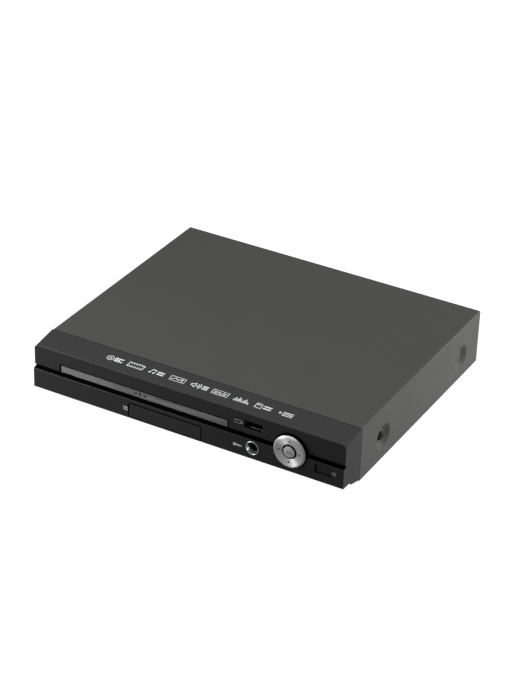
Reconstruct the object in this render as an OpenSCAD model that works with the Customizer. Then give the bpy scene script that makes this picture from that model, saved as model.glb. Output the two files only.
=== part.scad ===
// Compact disc player with a motor-driven tray.
// Case frame: x to the right, y to the back from the seam between the front
// panel and the cover, z up from the lower edge of the cover. place() moves it
// so that the origin is the middle of the bottom of the whole player.

/* [Case] */
// Width of the cover over its sides
case_w = 225; // [222:1:250]
// Depth of the cover from the seam to its back
case_d = 171; // [162:0.5:190]
// Height of the cover
case_h = 38; // [37:0.5:46]
// Thickness of the folded steel sheet
sheet_t = 0.8; // [0.6:0.1:1]
// Outer radius of the folds along the top edges
bend_r = 1.2; // [1.1:0.1:2.5]
// Diameter of the cone pressed into each side
dimple_d = 18; // [14:0.5:20]
// Diameter of the flat floor of a dimple
dimple_floor_d = 9.6; // [8:0.2:11]
// Depth of a dimple
dimple_depth = 2.4; // [2.1:0.1:3]
// Front dimple, measured back from the seam
dimple_front_y = 30.8; // [20:0.2:40]
// Back dimple, measured forward from the back
dimple_back_y = 27.4; // [20:0.2:50]
// Height of the dimples' middle
dimple_z = 15.7; // [12:0.1:20]
// Height of the rubber feet
foot_h = 4; // [3:0.5:8]
// Diameter of a foot
foot_d = 14; // [10:0.5:18]
// Middle of a foot in from the sides
foot_inset_x = 22; // [18:1:30]
// Middle of a foot in from the seam and from the back
foot_inset_y = 18; // [16:1:19]

/* [Front panel] */
// Depth of the front panel in front of the seam
bezel_d = 22; // [21:0.5:24]
// Thickness of the moulded front panel
bezel_wall = 2.2; // [1.8:0.1:2.6]
// Height of the lower edge of the front face
bezel_bottom = 6.2; // [5:0.1:6.5]
// Fall of the top face from the seam to the front
bezel_drop = 1.1; // [0.4:0.1:2]
// Set-back of the upper face behind the lower face
upper_set = 1.5; // [0.8:0.1:2]
// Height of the bottom of the V groove
groove_z = 21.2; // [20.5:0.1:21.4]
// Height of the V groove at its mouth
groove_h = 2.6; // [1.6:0.1:3]
// Depth of the V groove behind the upper face
groove_depth = 2; // [1:0.1:2.4]
// Cut at the upper side corners, at the front end
corner_cut = 2; // [1:0.1:3]
// Gap of the seam between front panel and cover
seam_gap = 0.3; // [0.2:0.05:0.5]
// Left edge of the display window from the tray's middle line
window_left = 9.5; // [8:0.5:14]
// Width of the display window
window_w = 53; // [50:0.2:56]
// Height of the display window
window_h = 9.6; // [9:0.1:11]
// Height of the lower edge of the display window
window_z = 7.7; // [7.6:0.1:8.2]
// Middle of the USB port from the right side
usb_inset = 63.8; // [60:0.1:66]
// Middle of the USB port below the top of the cover
usb_drop = 8.9; // [7.6:0.1:9.4]
// Middle of the jack from the right side
jack_inset = 63.4; // [60:0.2:66]
// Middle height of the jack
jack_z = 14.1; // [13.2:0.1:14.2]
// Bore of the jack
jack_bore = 6.4; // [6.3:0.05:6.6]
// Middle of the dial from the right side
dial_inset = 37.2; // [34:0.1:40]
// Middle of the dial above the middle of the front face
dial_rise = -0.6; // [-0.8:0.1:1.2]
// Diameter of the dial ring
dial_d = 22.4; // [21:0.2:23.4]
// How far the dial stands in front of the lower face
dial_proud = 1.5; // [1.2:0.1:3]
// Diameter of the play button in the dial
play_d = 7.8; // [7:0.1:8]
// Middle of the power button from the right side
power_inset = 14; // [13:0.1:17]
// Width of the power button
power_w = 11.2; // [9:0.2:12]
// Height of the power button
power_h = 6; // [5:0.1:6.2]
// Middle height of the power button
power_z = 15.1; // [14.5:0.1:15.8]
// Play between a moving button and its hole, to each side
button_gap = 0.3; // [0.2:0.05:0.4]

/* [Tray] */
// Middle line of the tray from the left side
tray_inset = 81.5; // [80:0.5:84]
// Width of the tray
tray_w = 122.6; // [122.2:0.1:123.4]
// Underside of the tray
tray_z = 22; // [21.9:0.1:22.1]
// Thickness of the tray at its rim
tray_t = 5; // [4.8:0.1:5]
// Room between the tray and the back of the case
tray_room = 33; // [33:0.5:38]
// Middle of the disc behind the seam
disc_y = 44.5; // [44:0.25:45]
// Width of the pickup slot in the tray
slot_w = 34; // [33:0.5:36]
// Length of the tray that stays in the case when it is out
tray_kept = 10; // [10:1:28]
// Height of the tray's front lip
lip_h = 5.3; // [5:0.1:5.5]
// Thickness of the tray's front lip
lip_t = 2.6; // [2:0.1:3]
// Gap round the lip in its slot
lip_gap = 0.9; // [0.5:0.1:1]

/* [Loader] */
// Wall of the loader's frame
loader_wall = 2; // [1.6:0.1:2.4]
// Running gap between the tray and its guides
guide_gap = 0.3; // [0.2:0.05:0.4]
// Teeth of the gear that drives the rack
rack_teeth = 14; // [12:2:14]
// Tooth module of the rack
rack_m = 1; // [0.9:0.05:1]
// Teeth of the large wheel under the rack gear
wheel_teeth = 26; // [24:1:26]
// Teeth of the pinion on the pulley gear
pinion_teeth = 12; // [11:1:13]
// Tooth module of wheel and pinion
wheel_m = 0.8; // [0.75:0.05:0.8]
// Play of a tooth in its gap, on each flank
tooth_play = 0.07; // [0.04:0.01:0.12]
// Radius of the belt groove on the large pulley
pulley_r = 7.4; // [6.5:0.1:7.4]
// Radius of the belt groove on the motor pulley
motor_pulley_r = 2.6; // [2.2:0.1:2.8]
// Distance from the motor to the large pulley
belt_span = 28.6; // [27:0.2:34]
// Thickness of the square belt
belt_t = 1.2; // [1:0.1:1.4]
// Diameter of the loading motor
motor_d = 20; // [17:0.5:20]
// Way of the cam slide
cam_travel = 16; // [14:0.5:18]
// Way that the spindle drops when the cam slide moves
hub_drop = 6.6; // [5.6:0.1:7]
// Diameter of the guide rods
rod_d = 3; // [2.6:0.1:3]

/* [Boards and back] */
// Thickness of the circuit boards
board_t = 1.6; // [1.2:0.1:2]
// Height of the boards over the pan
board_lift = 5; // [4:0.5:6]
// Pitch of the output jacks
rca_pitch = 14; // [13.5:0.5:15]
// Number of the output jacks
rca_count = 4; // [3:1:4]
// How far the output jacks stand out of the back
rca_out = 8.5; // [7.5:0.5:10]
// Diameter of the output jacks
rca_d = 8.3; // [8.1:0.1:8.5]
// Middle height of the output jacks
rca_z = 17; // [16:0.5:20]
// Middle of the mains inlet from the right side
inlet_inset = 24; // [22:0.5:30]
// Middle height of the mains inlet
inlet_z = 17; // [16:0.5:20]

/* [Hidden] */

$fn = 48;
eps = 0.01;
// longer than anything here, for cuts that go right through
far = 300;

// whole player and its origin
front_y = -bezel_d - dial_proud;
back_y = case_d + rca_out;
origin_y = (front_y + back_y) / 2;
left_x = -case_w / 2;
right_x = case_w / 2;

// front panel
lower_y = -bezel_d;
upper_y = lower_y + upper_set;
inner_y = lower_y + bezel_wall;
inner_upper_y = upper_y + bezel_wall;
bezel_top = case_h - bezel_drop;
edge_r = 0.5;
usb_x = right_x - usb_inset;
usb_z = case_h - usb_drop;
jack_x = right_x - jack_inset;
dial_x = right_x - dial_inset;
dial_z = (bezel_bottom + bezel_top) / 2 + dial_rise;
power_x = right_x - power_inset;

// tray and what it carries
tray_x = left_x + tray_inset;
tray_hw = tray_w / 2;
tray_top = tray_z + tray_t;
tray_back = case_d - tray_room;
tray_travel = tray_back - tray_kept;
// front of the tray's stop when the tray is out
stop_y = 4;
stop_l = 4;
stop_in = 9;
window_x0 = tray_x - window_left;
window_x1 = window_x0 + window_w;
window_back_z = bezel_bottom + bezel_wall + 0.1;
lip_z0 = tray_z + 0.1;
lip_y = upper_y + 0.2;
tray_front = lip_y + lip_t;
disc_r = 60;
small_disc_r = 40;
well_play = 0.4;
well_depth = 1.8;
small_well_depth = 1.4;
slot_r = slot_w / 2;
disc_seat_z = tray_top - well_depth + 1.2;

// loader frame
loader_x0 = tray_x - tray_hw - guide_gap - loader_wall;
loader_x1 = tray_x + tray_hw + guide_gap + loader_wall;
loader_floor_z = 3;
loader_floor_t = 2;
loader_floor_top = loader_floor_z + loader_floor_t;
// the floor steps up where it reaches over the front panel's sloping underside
loader_step_y = 2;
loader_shelf_z = bezel_bottom + bezel_wall + 0.4;
loader_front = lower_y + 8;
loader_step = -5;
loader_back = tray_back + 2.8;
ledge_w = 3;
guide_top = tray_top + guide_gap + 1.6;
tab_l = 10;

// gears, with the rack's pitch line on the tray's underside
rack_r = rack_teeth * rack_m / 2;
rack_x = tray_x - tray_hw + 4.8;
gear_x = rack_x + rack_r;
gear_y = 0;
// the rack and its gear lie in a channel in the tray's underside
channel_h = 2.1;
channel_x1 = gear_x + rack_r + rack_m + 0.6;
wheel_r = wheel_teeth * wheel_m / 2;
pinion_r = pinion_teeth * wheel_m / 2;
pulley_angle = 75;
gear_span = wheel_r + pinion_r;
pulley_x = gear_x + gear_span * cos(pulley_angle);
pulley_y = gear_y + gear_span * sin(pulley_angle);
motor_angle = 100;
motor_x = pulley_x + belt_span * cos(motor_angle);
motor_y = pulley_y + belt_span * sin(motor_angle);
wheel_z = tray_z - 9;
wheel_face = 3;
rack_gear_z = tray_z - 0.1;
rack_gear_face = 1.9;
pulley_z = tray_z - 5.4;
pulley_face = 3.2;
post_d = 3;
shaft_play = 0.05;
flange_h = 1.1;

// cradle, cam and traverse
screw_x = 26.4;
screw_z = 12.6;
screw_d = 2.6;
sled_motor_d = 8;
rail_w = 3.1;
cradle_hw = screw_x + sled_motor_d / 2 + rail_w;
cradle_front = 26;
cradle_back = loader_back - 14.8;
cradle_z = 12;
cradle_t = 3;
hinge_y = cradle_back - 4;
hinge_z = cradle_z + cradle_t / 2;
hinge_d = 4;
cam_pin_d = 3;
cam_pin_y = cradle_front - 2;
cam_pins = [-6, 18];
cam_play = 0.2;
cam_t = 2;
tilt = asin(hub_drop / (hinge_y - disc_y));
cam_drop = (hinge_y - cam_pin_y) * sin(tilt);
plate_z = cradle_z + cradle_t + 2;
plate_t = 1.2;
plate_top = plate_z + plate_t;
plate_hw = 29;
damper_spots = [for (s = [-1, 1]) each [[s * 25.5, cradle_front + 6.5], [s * 20, cradle_back - 4]]];
damper_d = 8;
neck_d = 5;
rods_x = 20.5;
bush_d = rod_d + 2.4;
rods_z = plate_z - bush_d / 2 - 0.3;
rods_y0 = disc_y + 9.5;
rods_y1 = cradle_back - 9.5;
lens_y = disc_y + 24;
sled_front = 10;
sled_rear = 11;
// way of the sled, up to the rods' rear holders
sled_travel = rods_y1 - 3 - sled_rear - lens_y;
rotor_r = 13;
turntable_r = 15;

// clamp above the disc
bridge_z = disc_seat_z + 3;
bridge_t = 1;
bridge_hw = 16;
bridge_ear = 6;
bridge_screws_x = [loader_x0 - bridge_ear / 2, loader_x1 + bridge_ear / 2];
clamper_r = 11.8;
clamper_z = disc_seat_z + 1.5;

// board bay on the right of the loader
bay_x0 = loader_x1 + 7;
bay_x1 = right_x - 6.5;
board_z = sheet_t + board_lift;
board_top = board_z + board_t;
main_y0 = 12;
power_l = 70;
power_y1 = case_d - 6;
power_y0 = power_y1 - power_l;
main_y1 = power_y0 - 9;
front_board_y = lower_y + 14.5;
front_board_z0 = bezel_bottom;
front_board_step_z = tray_z - 2.5;
front_board_step_x = loader_x1 + 3;
front_board_top = case_h - 3.3;
front_board_x0 = window_x0 - 8;
front_board_x1 = right_x - 4.5;
switch_h = 3.4;
button_travel = 0.5;
switch_tip = front_board_y - switch_h - 0.9;
plunger_tip = switch_tip - 0.1 - button_travel;
rocker_y = front_board_y - 4.8;
rocker_reach = 9.6;
switch_hw = 1.5;

// pan, cover and back
pan_hw = case_w / 2 - dimple_depth - sheet_t;
pan_flange_h = 24;
pan_front = 1;
panel_y1 = case_d - sheet_t;
panel_y0 = panel_y1 - sheet_t;
panel_top = case_h - sheet_t - 0.3;
screw_hole = 3.2;
screw_shank = 2.9;
screw_head = 5.8;
screw_head_h = 1.7;
rear_flange_w = 12;
rear_screw_spots = [[-(case_w / 2 - 6), 22], [0, case_h - 5], [case_w / 2 - 6, 22]];
rca_x0 = tray_x - 18;
rca_nose_d = 10.4;
rca_nose = 1;
inlet_x = right_x - inlet_inset;
inlet_w = 20;
inlet_h = 12;
inlet_deep = 18;

loader_bosses = [[loader_x0 + 6, 24], [loader_x0 + 6, loader_back - 11],
  [loader_x1 - 6, loader_step_y + 6], [loader_x1 - 6, loader_back - 11]];
main_bosses = [for (x = [bay_x0 + 4, bay_x1 - 4], y = [main_y0 + 4, main_y1 - 4]) [x, y]];
power_bosses = [for (x = [bay_x0 + 4, bay_x1 - 4], y = [power_y0 + 4, power_y1 - 4]) [x, y]];
av_x0 = rca_x0 - rca_pitch / 2 - 3;
av_x1 = rca_x0 + (rca_count - 0.5) * rca_pitch + 3;
av_y0 = loader_back + 1.5;
av_y1 = panel_y0 - 0.6;
av_bosses = [[av_x0 - 4, av_y0 + 4], [av_x1 + 4, av_y0 + 4]];
boss_d = 6;
thread_d = 2.5;
ribbon_t = 0.8;
socket_h = 3;

// ---- shared shapes ----

// moves the case frame so that the player stands on the origin
module place() {
  translate([0, -origin_y, foot_h])
    children();
}

module block(x0, x1, y0, y1, z0, z1) {
  translate([x0, y0, z0])
    cube([x1 - x0, y1 - y0, z1 - z0]);
}

module rod_x(x0, x1, y, z, d) {
  translate([x0, y, z])
    rotate([0, 90, 0])
      cylinder(h = x1 - x0, d = d);
}

module rod_y(x, y0, y1, z, d) {
  translate([x, y1, z])
    rotate([90, 0, 0])
      cylinder(h = y1 - y0, d = d);
}

module rod_z(x, y, z0, z1, d) {
  translate([x, y, z0])
    cylinder(h = z1 - z0, d = d);
}

// a flat outline in x and z, carried along y
module along_y(y0, y1) {
  translate([0, y1, 0])
    rotate([90, 0, 0])
      linear_extrude(y1 - y0)
        children();
}

// a flat outline in y and z, carried along x
module along_x(x0, x1) {
  translate([x0, 0, 0])
    rotate([90, 0, 90])
      linear_extrude(x1 - x0)
        children();
}

// a profile of radius and depth, turned about an axis along y; depth goes back
module turned_y(x, y, z) {
  translate([x, y, z])
    rotate([-90, 0, 0])
      rotate_extrude()
        children();
}

// rectangle with true round corners
module round_rect(w, h, r) {
  square([w - 2 * r, h], center = true);
  square([w, h - 2 * r], center = true);
  for (sx = [-1, 1], sy = [-1, 1])
    translate([sx * (w / 2 - r), sy * (h / 2 - r)])
      circle(r);
}

// everything on the far side of a plane through p, with normal n
module beyond(p, n) {
  turn = atan2(n[1], n[0]);
  lean = acos(n[2] / norm(n));
  translate(p)
    rotate([0, lean, turn])
      translate([-far / 2, -far / 2, 0])
        cube(far);
}

// pan head screw along +z from its seat, with a cross recess; the shank goes down
module pan_screw(length) {
  difference() {
    union() {
      cylinder(h = screw_head_h * 0.55, d = screw_head);
      translate([0, 0, screw_head_h * 0.55])
        cylinder(h = screw_head_h * 0.45, d1 = screw_head, d2 = screw_head * 0.66);
      translate([0, 0, -length])
        cylinder(h = length + eps, d = screw_shank * 0.82);
    }
    for (a = [0, 90])
      rotate([0, 0, a])
        translate([-screw_head * 0.27, -0.35, screw_head_h * 0.4])
          cube([screw_head * 0.54, 0.7, screw_head_h]);
  }
}

function polar(r, a) = [r * cos(a), r * sin(a)];

// angle between the start of an involute and its point at radius r, in degrees
function involute(base, r) =
  let (t = sqrt(max(0, pow(r / base, 2) - 1)))
  t * 180 / PI - atan(t);

pressure = 20;
addendum = 0.9;
dedendum = 1.2;
flank_steps = 3;

// outline of a spur gear: n teeth of module m, with a tooth on the +x axis
function gear_points(n, m) =
  let (pitch_r = n * m / 2, base = pitch_r * cos(pressure), tip = pitch_r + addendum * m,
    root = pitch_r - dedendum * m, start = max(base, root),
    half = 90 / n - tooth_play / pitch_r * 180 / PI + involute(base, pitch_r),
    flank = [for (i = [0:flank_steps]) let (r = start + (tip - start) * i / flank_steps)
      [r, half - involute(base, r)]],
    low = start > root ? [[root, half]] : [],
    rise = concat(low, flank))
  [for (k = [0:n - 1], s = [-1, 1], i = [0:len(rise) - 1])
    let (p = s < 0 ? rise[i] : rise[len(rise) - 1 - i])
    polar(p[0], s * p[1] + k * 360 / n)];

module gear(n, m, face) {
  linear_extrude(face)
    polygon(gear_points(n, m));
}

// ---- case ----

module cover_outline(inset) {
  w = case_w - 2 * inset;
  h = case_h - inset;
  r = max(bend_r - inset, 0.2);
  translate([-w / 2, -1])
    square([w, h - r + 1]);
  translate([-w / 2 + r, 0])
    square([w - 2 * r, h]);
  for (s = [-1, 1])
    translate([s * (w / 2 - r), h - r])
      circle(r);
}

module dimple_cone(depth, grow) {
  translate([0, 0, -grow])
    cylinder(h = depth + grow, d1 = dimple_d + grow * (dimple_d - dimple_floor_d) / dimple_depth,
      d2 = dimple_floor_d);
}

// puts the children's +z inward on each side at each dimple
module at_dimples(spots) {
  for (s = [-1, 1], y = spots)
    translate([s * case_w / 2, y, dimple_z])
      rotate([0, -s * 90, 0])
        children();
}

module top_cover() {
  dimples = [dimple_front_y, case_d - dimple_back_y];
  color("#4b4b49")
    place()
      difference() {
        union() {
          difference() {
            along_y(seam_gap / 2, case_d)
              cover_outline(0);
            along_y(-1, case_d - sheet_t)
              cover_outline(sheet_t);
            block(-far, far, -1, far, -5, 0);
            // the back stays open but for the two side flanges and the middle tab
            block(-case_w / 2 + rear_flange_w, -14, panel_y1 - 1, far, -1, case_h - sheet_t);
            block(14, case_w / 2 - rear_flange_w, panel_y1 - 1, far, -1, case_h - sheet_t);
            block(-15, 15, panel_y1 - 1, far, -1, case_h - 10);
            for (s = [-1, 1])
              translate([s * (case_w / 2 - sheet_t - rear_flange_w / 2), 0, 0]) {
                block(-rear_flange_w / 2, rear_flange_w / 2, panel_y1 - 1, far, -1, 10);
                block(-rear_flange_w / 2, rear_flange_w / 2, panel_y1 - 1, far, 32, case_h - sheet_t);
              }
          }
          at_dimples(dimples)
            translate([0, 0, sheet_t])
              dimple_cone(dimple_depth, 0);
        }
        at_dimples(dimples)
          dimple_cone(dimple_depth, 1);
        at_dimples([dimple_front_y])
          cylinder(h = far / 20, d = screw_hole);
        for (p = rear_screw_spots)
          rod_y(p[0], panel_y1 - 1, far, p[1], screw_hole);
      }
}

module vent_row(count, pitch, length) {
  for (i = [0:count - 1])
    translate([(i - (count - 1) / 2) * pitch, 0])
      round_rect(2, length, 0.9);
}

module chassis_pan() {
  color("#b9bcbd")
    place()
      difference() {
        union() {
          block(-pan_hw, pan_hw, pan_front, panel_y1, 0, sheet_t);
          block(-pan_hw, pan_hw, pan_front, pan_front + sheet_t, 0, 2.6);
          for (s = [0, 1])
            translate([s * (2 * pan_hw - sheet_t), 0, 0])
              block(-pan_hw, -pan_hw + sheet_t, pan_front, panel_y1, 0, pan_flange_h);
          block(-case_w / 2 + sheet_t + 0.3, case_w / 2 - sheet_t - 0.3, panel_y0, panel_y1, 0, panel_top);
          for (p = loader_bosses)
            rod_z(p[0], p[1], sheet_t, loader_floor_z, boss_d);
          for (p = concat(main_bosses, power_bosses, av_bosses))
            rod_z(p[0], p[1], sheet_t, board_z, boss_d);
          // threaded bushes behind the rear screws
          for (p = rear_screw_spots)
            rod_y(p[0], panel_y0 - 1.5, panel_y0, p[1], boss_d);
        }
        for (p = concat(loader_bosses, main_bosses, power_bosses, av_bosses))
          rod_z(p[0], p[1], -1, board_z + 1, thread_d);
        for (p = rear_screw_spots)
          rod_y(p[0], panel_y0 - 3, far, p[1], thread_d);
        at_dimples([dimple_front_y])
          cylinder(h = far / 20, d = thread_d);
        at_feet()
          cylinder(h = 10, d = foot_stem_d + 0.1, center = true);
        for (i = [0:rca_count - 1])
          rod_y(rca_x0 + i * rca_pitch, panel_y0 - 1, far, rca_z, rca_nose_d + 0.4);
        along_y(panel_y0 - 1, panel_y1 + 1)
          translate([inlet_x, inlet_z])
            round_rect(inlet_w + 0.4, inlet_h + 0.4, 1);
        // vents: two rows in the back, one field in the floor
        for (x = [tray_x - 50, (av_x1 + inlet_x) / 2 + 2])
          along_y(panel_y0 - 1, panel_y1 + 1)
            translate([x, rca_z + 2])
              vent_row(9, 4.5, 14);
        for (row = [0:2])
          translate([(bay_x0 + bay_x1) / 2, power_y0 + 12 + row * 15, -1])
            linear_extrude(4)
              vent_row(9, 4.5, 12);
      }
}

foot_stem_d = 4;

module at_feet() {
  for (sx = [-1, 1], y = [foot_inset_y, case_d - foot_inset_y])
    translate([sx * (case_w / 2 - foot_inset_x), y, 0])
      children();
}

module feet() {
  color("#1d1d1d")
    place()
      at_feet()
        difference() {
          union() {
            translate([0, 0, -foot_h])
              cylinder(h = foot_h, d1 = foot_d - 1.6, d2 = foot_d);
            cylinder(h = sheet_t + 0.1, d = foot_stem_d);
            translate([0, 0, sheet_t + 0.1])
              cylinder(h = 1, d1 = foot_stem_d + 1.2, d2 = foot_stem_d - 0.6);
          }
          translate([0, 0, -foot_h - eps])
            cylinder(h = 1, d1 = foot_d * 0.5, d2 = foot_d * 0.4);
        }
}

module side_screws() {
  color("#202020")
    place()
      at_dimples([dimple_front_y])
        translate([0, 0, dimple_depth])
          mirror([0, 0, 1])
            pan_screw(5);
}

module rear_screws() {
  color("#202020")
    place()
      for (p = rear_screw_spots)
        translate([p[0], case_d, p[1]])
          rotate([-90, 0, 0])
            pan_screw(4.5);
}

// ---- front panel ----

// outline of the front panel from the side, in y and z, running past the seam
module bezel_outline() {
  groove_y = upper_y + groove_depth;
  back = 6;
  polygon([[back, case_h], [0, case_h], [upper_y, bezel_top],
    [upper_y, groove_z + groove_h / 2], [groove_y, groove_z], [lower_y, groove_z - groove_h / 2],
    [lower_y, bezel_bottom], [lower_y / 2 - 2, bezel_bottom - 0.3], [lower_y / 2, bezel_bottom - 2.6],
    [0, 0.8], [back, 0.8]]);
}

module bezel_shell() {
  end = -seam_gap / 2;
  intersection() {
    along_x(left_x, right_x)
      offset(edge_r, $fn = 24)
        offset(delta = -edge_r)
          bezel_outline();
    block(left_x, right_x, lower_y - 1, end, -1, case_h + 1);
  }
}

// planes that take the upper side corners off, from nothing at the seam
module bezel_corner_cuts() {
  p0 = [right_x, 0, case_h];
  p1 = [right_x - corner_cut, upper_y, bezel_top];
  p2 = [right_x, upper_y, bezel_top - corner_cut];
  n = cross(p1 - p0, p2 - p0);
  up = n[2] > 0 ? n : -n;
  beyond(p0, up);
  mirror([1, 0, 0])
    beyond(p0, up);
}

module window_hole(gap, y0, y1) {
  r = 1.6;
  along_y(y0, y1)
    translate([(window_x0 + window_x1) / 2, window_z + window_h / 2])
      round_rect(window_w + 2 * gap, window_h + 2 * gap, r + gap);
}

module front_bezel() {
  tongue_z = case_h - sheet_t - 0.2;
  color("#2a2b2c")
    place()
      difference() {
        union() {
          difference() {
            bezel_shell();
            bezel_corner_cuts();
            along_x(left_x + bezel_wall, right_x - bezel_wall)
              offset(r = -bezel_wall, $fn = 24)
                bezel_outline();
          }
          // tongue under the cover's front edge, and clips at the sides and below
          block(left_x + 6, right_x - 6, inner_upper_y + 4, 4, tongue_z - 1.2, tongue_z);
          for (s = [-1, 1])
            translate([s * (case_w / 2 - sheet_t - 1.0), 0, 0])
              block(-0.7, 0.7, -6, 5, 8, 30);
          // collars that hold the button and steady the ring
          rod_y(dial_x, inner_y - 0.4, inner_y + 1.6, dial_z, dial_d + 2 * dial_gap + 2.4);
          along_y(inner_y - 0.2, inner_y + 1)
            translate([power_x, power_z])
              round_rect(power_w + 2 * button_gap + 2.4, power_h + 2 * button_gap + 2.4, 1.6);
        }
        // tray slot
        block(tray_x - lip_w / 2 - lip_gap, tray_x + lip_w / 2 + lip_gap, lower_y - 1, inner_upper_y + 3,
          lip_z0 - 0.5, lip_z0 + lip_h + 0.4);
        window_hole(window_gap, lower_y - 1, inner_y + 1);
        along_y(lower_y - 1, inner_upper_y + 1)
          translate([usb_x, usb_z])
            round_rect(usb_w - usb_wall, usb_h - usb_wall, 0.4);
        rod_y(jack_x, lower_y - 1, inner_y + 1, jack_z, jack_ferrule_d + 0.2);
        rod_y(jack_x, lower_y - 1, lower_y + jack_seat, jack_z, jack_flange_d + 0.8);
        rod_y(dial_x, lower_y - 1, inner_y + 6, dial_z, dial_d + 2 * dial_gap);
        along_y(lower_y - 1, inner_y + 3)
          translate([power_x, power_z])
            round_rect(power_w + 2 * button_gap, power_h + 2 * button_gap, 0.8);
      }
}

window_gap = 0.5;
dial_gap = 0.7;
lip_w = tray_w + 0.6;
usb_w = 13.1;
usb_h = 5.7;
usb_wall = 0.4;
usb_l = 11.6;
usb_front = inner_upper_y + 0.1;
jack_ferrule_d = 8.8;
jack_flange_d = 9.6;
// depth of the seat of the jack's flange in the panel
jack_seat = 1;

module display_window() {
  color("#1c1d1f")
    place() {
      window_hole(0, lower_y + 0.1, inner_y);
      block(window_x0 - 1.5, window_x1 + 1.5, inner_y, inner_y + 1, window_back_z,
        window_z + window_h + 0.8);
    }
}

module display_module() {
  x0 = window_x0 + 5;
  x1 = window_x1 - 5;
  z0 = window_back_z + 0.1;
  color("#e3e3dc")
    place()
      difference() {
        block(x0, x1, inner_y + 1.5, front_board_y, z0, z0 + window_h - 2);
        // the wells of four digits, seven bars each
        for (i = [0:3])
          translate([x0 + 6 + i * (x1 - x0 - 12) / 3, inner_y + 1.2, z0 + window_h / 2 - 1])
            seven_bars();
      }
}

module seven_bars() {
  w = 3;
  h = 2.8;
  t = 0.6;
  for (k = [-1, 0, 1])
    block(-w / 2 + t, w / 2 - t, 0, 1, k * h - t / 2, k * h + t / 2);
  for (sx = [-1, 1], sz = [-1, 1])
    translate([sx * w / 2, 0, sz * h / 2])
      block(-t / 2, t / 2, 0, 1, -h / 2 + t, h / 2 - t);
}

module ir_receiver() {
  x = window_x1 - 2.2;
  z = window_z + window_h / 2;
  color("#26201e")
    place() {
      block(x - 1.8, x + 1.8, inner_y + 2.4, front_board_y, z - 3, z + 3);
      rod_y(x, inner_y + 1.4, inner_y + 2.4, z, 3);
    }
}

module dial_ring() {
  r = dial_d / 2;
  hole = play_d / 2 + 0.85;
  front = lower_y - dial_proud;
  flange_y = inner_y + 4.8;
  rim = 1.6;
  dish_r = 47;
  dish_y = -sqrt(pow(dish_r, 2) - pow(r - rim, 2));
  length = flange_y - front;
  lug = rocker_pin_r - 0.4;
  color("#7d7f7e")
    place()
      difference() {
        union() {
          turned_y(dial_x, front, dial_z)
            difference() {
              union() {
                translate([0, rim])
                  square([r, length - rim]);
                square([r - rim, rim + eps]);
                translate([r - rim, rim])
                  circle(rim);
              }
              translate([-1, -1])
                square([hole + 1, length + 3]);
              // dish that falls from the rim to the centre, and the broken edge of the hole
              translate([0, dish_y])
                circle(dish_r, $fn = 180);
              translate([hole, dish_y + sqrt(pow(dish_r, 2) - pow(hole, 2))])
                rotate(45)
                  square(0.7, center = true);
            }
          // flange with two ears that hold it behind the panel
          intersection() {
            rod_y(dial_x, flange_y - eps, flange_y + 1, dial_z, 2 * r + 2.6);
            block(dial_x - far, dial_x + far, flange_y - 1, far, dial_z - 8.5, dial_z + 8.5);
          }
          rod_y(dial_x, flange_y - eps, flange_y + 1, dial_z, 2 * r);
          // a lug above and below for the rocker ring's pins
          for (s = [-1, 1])
            translate([dial_x, 0, dial_z + s * (lug + 1.3)])
              block(-1.6, 1.6, flange_y, rocker_y + 1.2, -1.1, 1.1);
          // plungers over the four switches
          for (a = [0:90:270])
            translate([dial_x + rocker_reach * cos(a), 0, dial_z + rocker_reach * sin(a)])
              rod_y(0, flange_y, plunger_tip, 0, 2.2);
        }
        rod_y(dial_x, flange_y - 1, flange_y + 2, dial_z, 2 * hole);
        rod_z(dial_x, rocker_y, 0, far, rocker_pin_d + 2 * shaft_play);
      }
}

rocker_pin_d = 1.1;
rocker_pin_r = 6;

module rocker_ring() {
  color("#3a3a3a")
    place() {
      difference() {
        rod_y(dial_x, rocker_y - 0.7, rocker_y + 0.7, dial_z, 2 * rocker_pin_r - 0.8);
        rod_y(dial_x, rocker_y - 1, rocker_y + 1, dial_z, 2 * rocker_pin_r - 3.6);
      }
      for (s = [-1, 1]) {
        translate([s * (rocker_pin_r + 0.5) + dial_x, 0, 0])
          rod_x(-1.4, 1.4, rocker_y, dial_z, rocker_pin_d);
        translate([0, 0, s * (rocker_pin_r + 0.5) + dial_z])
          rod_z(dial_x, rocker_y, -1.4, 1.4, rocker_pin_d);
      }
    }
}

module play_button() {
  r = play_d / 2;
  front = lower_y - dial_proud - 0.2;
  color("#888a89")
    place()
      turned_y(dial_x, front, dial_z) {
        intersection() {
          square([r, 8]);
          translate([0, 14])
            circle(14, $fn = 180);
        }
        translate([0, 4])
          square([1.5, plunger_tip - front - 4]);
      }
}

// how far the power button's face lies behind the panel's
power_set = 1.1;

module power_button() {
  color("#1b1b1b")
    place() {
      along_y(lower_y + power_set, inner_y + 1.6)
        translate([power_x, power_z])
          round_rect(power_w, power_h, 0.7);
      along_y(inner_y + 1.1, inner_y + 1.9)
        translate([power_x, power_z])
          round_rect(power_w + 2, power_h, 0.7);
      rod_y(power_x, inner_y + 1.8, plunger_tip, power_z, 2.6);
    }
}

// base on the front board that carries the rocker ring
module switch_carrier() {
  reach = rocker_pin_r + 0.9;
  color("#dfddd2")
    place()
      difference() {
        union() {
          rod_y(dial_x, front_board_y - 1.2, front_board_y, dial_z, 2 * reach + 2);
          for (s = [-1, 1])
            translate([dial_x + s * reach, 0, dial_z])
              block(-1.1, 1.1, rocker_y - 1, front_board_y, -1.6, 1.6);
        }
        rod_x(dial_x - far / 10, dial_x + far / 10, rocker_y, dial_z, rocker_pin_d + 2 * shaft_play);
        rod_y(dial_x, rocker_y - 3, front_board_y + 1, dial_z, 9);
        for (a = [0:90:270])
          rod_y(dial_x + rocker_reach * cos(a), rocker_y - 3, front_board_y + 1,
            dial_z + rocker_reach * sin(a), 3 * switch_hw);
      }
}

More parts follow.
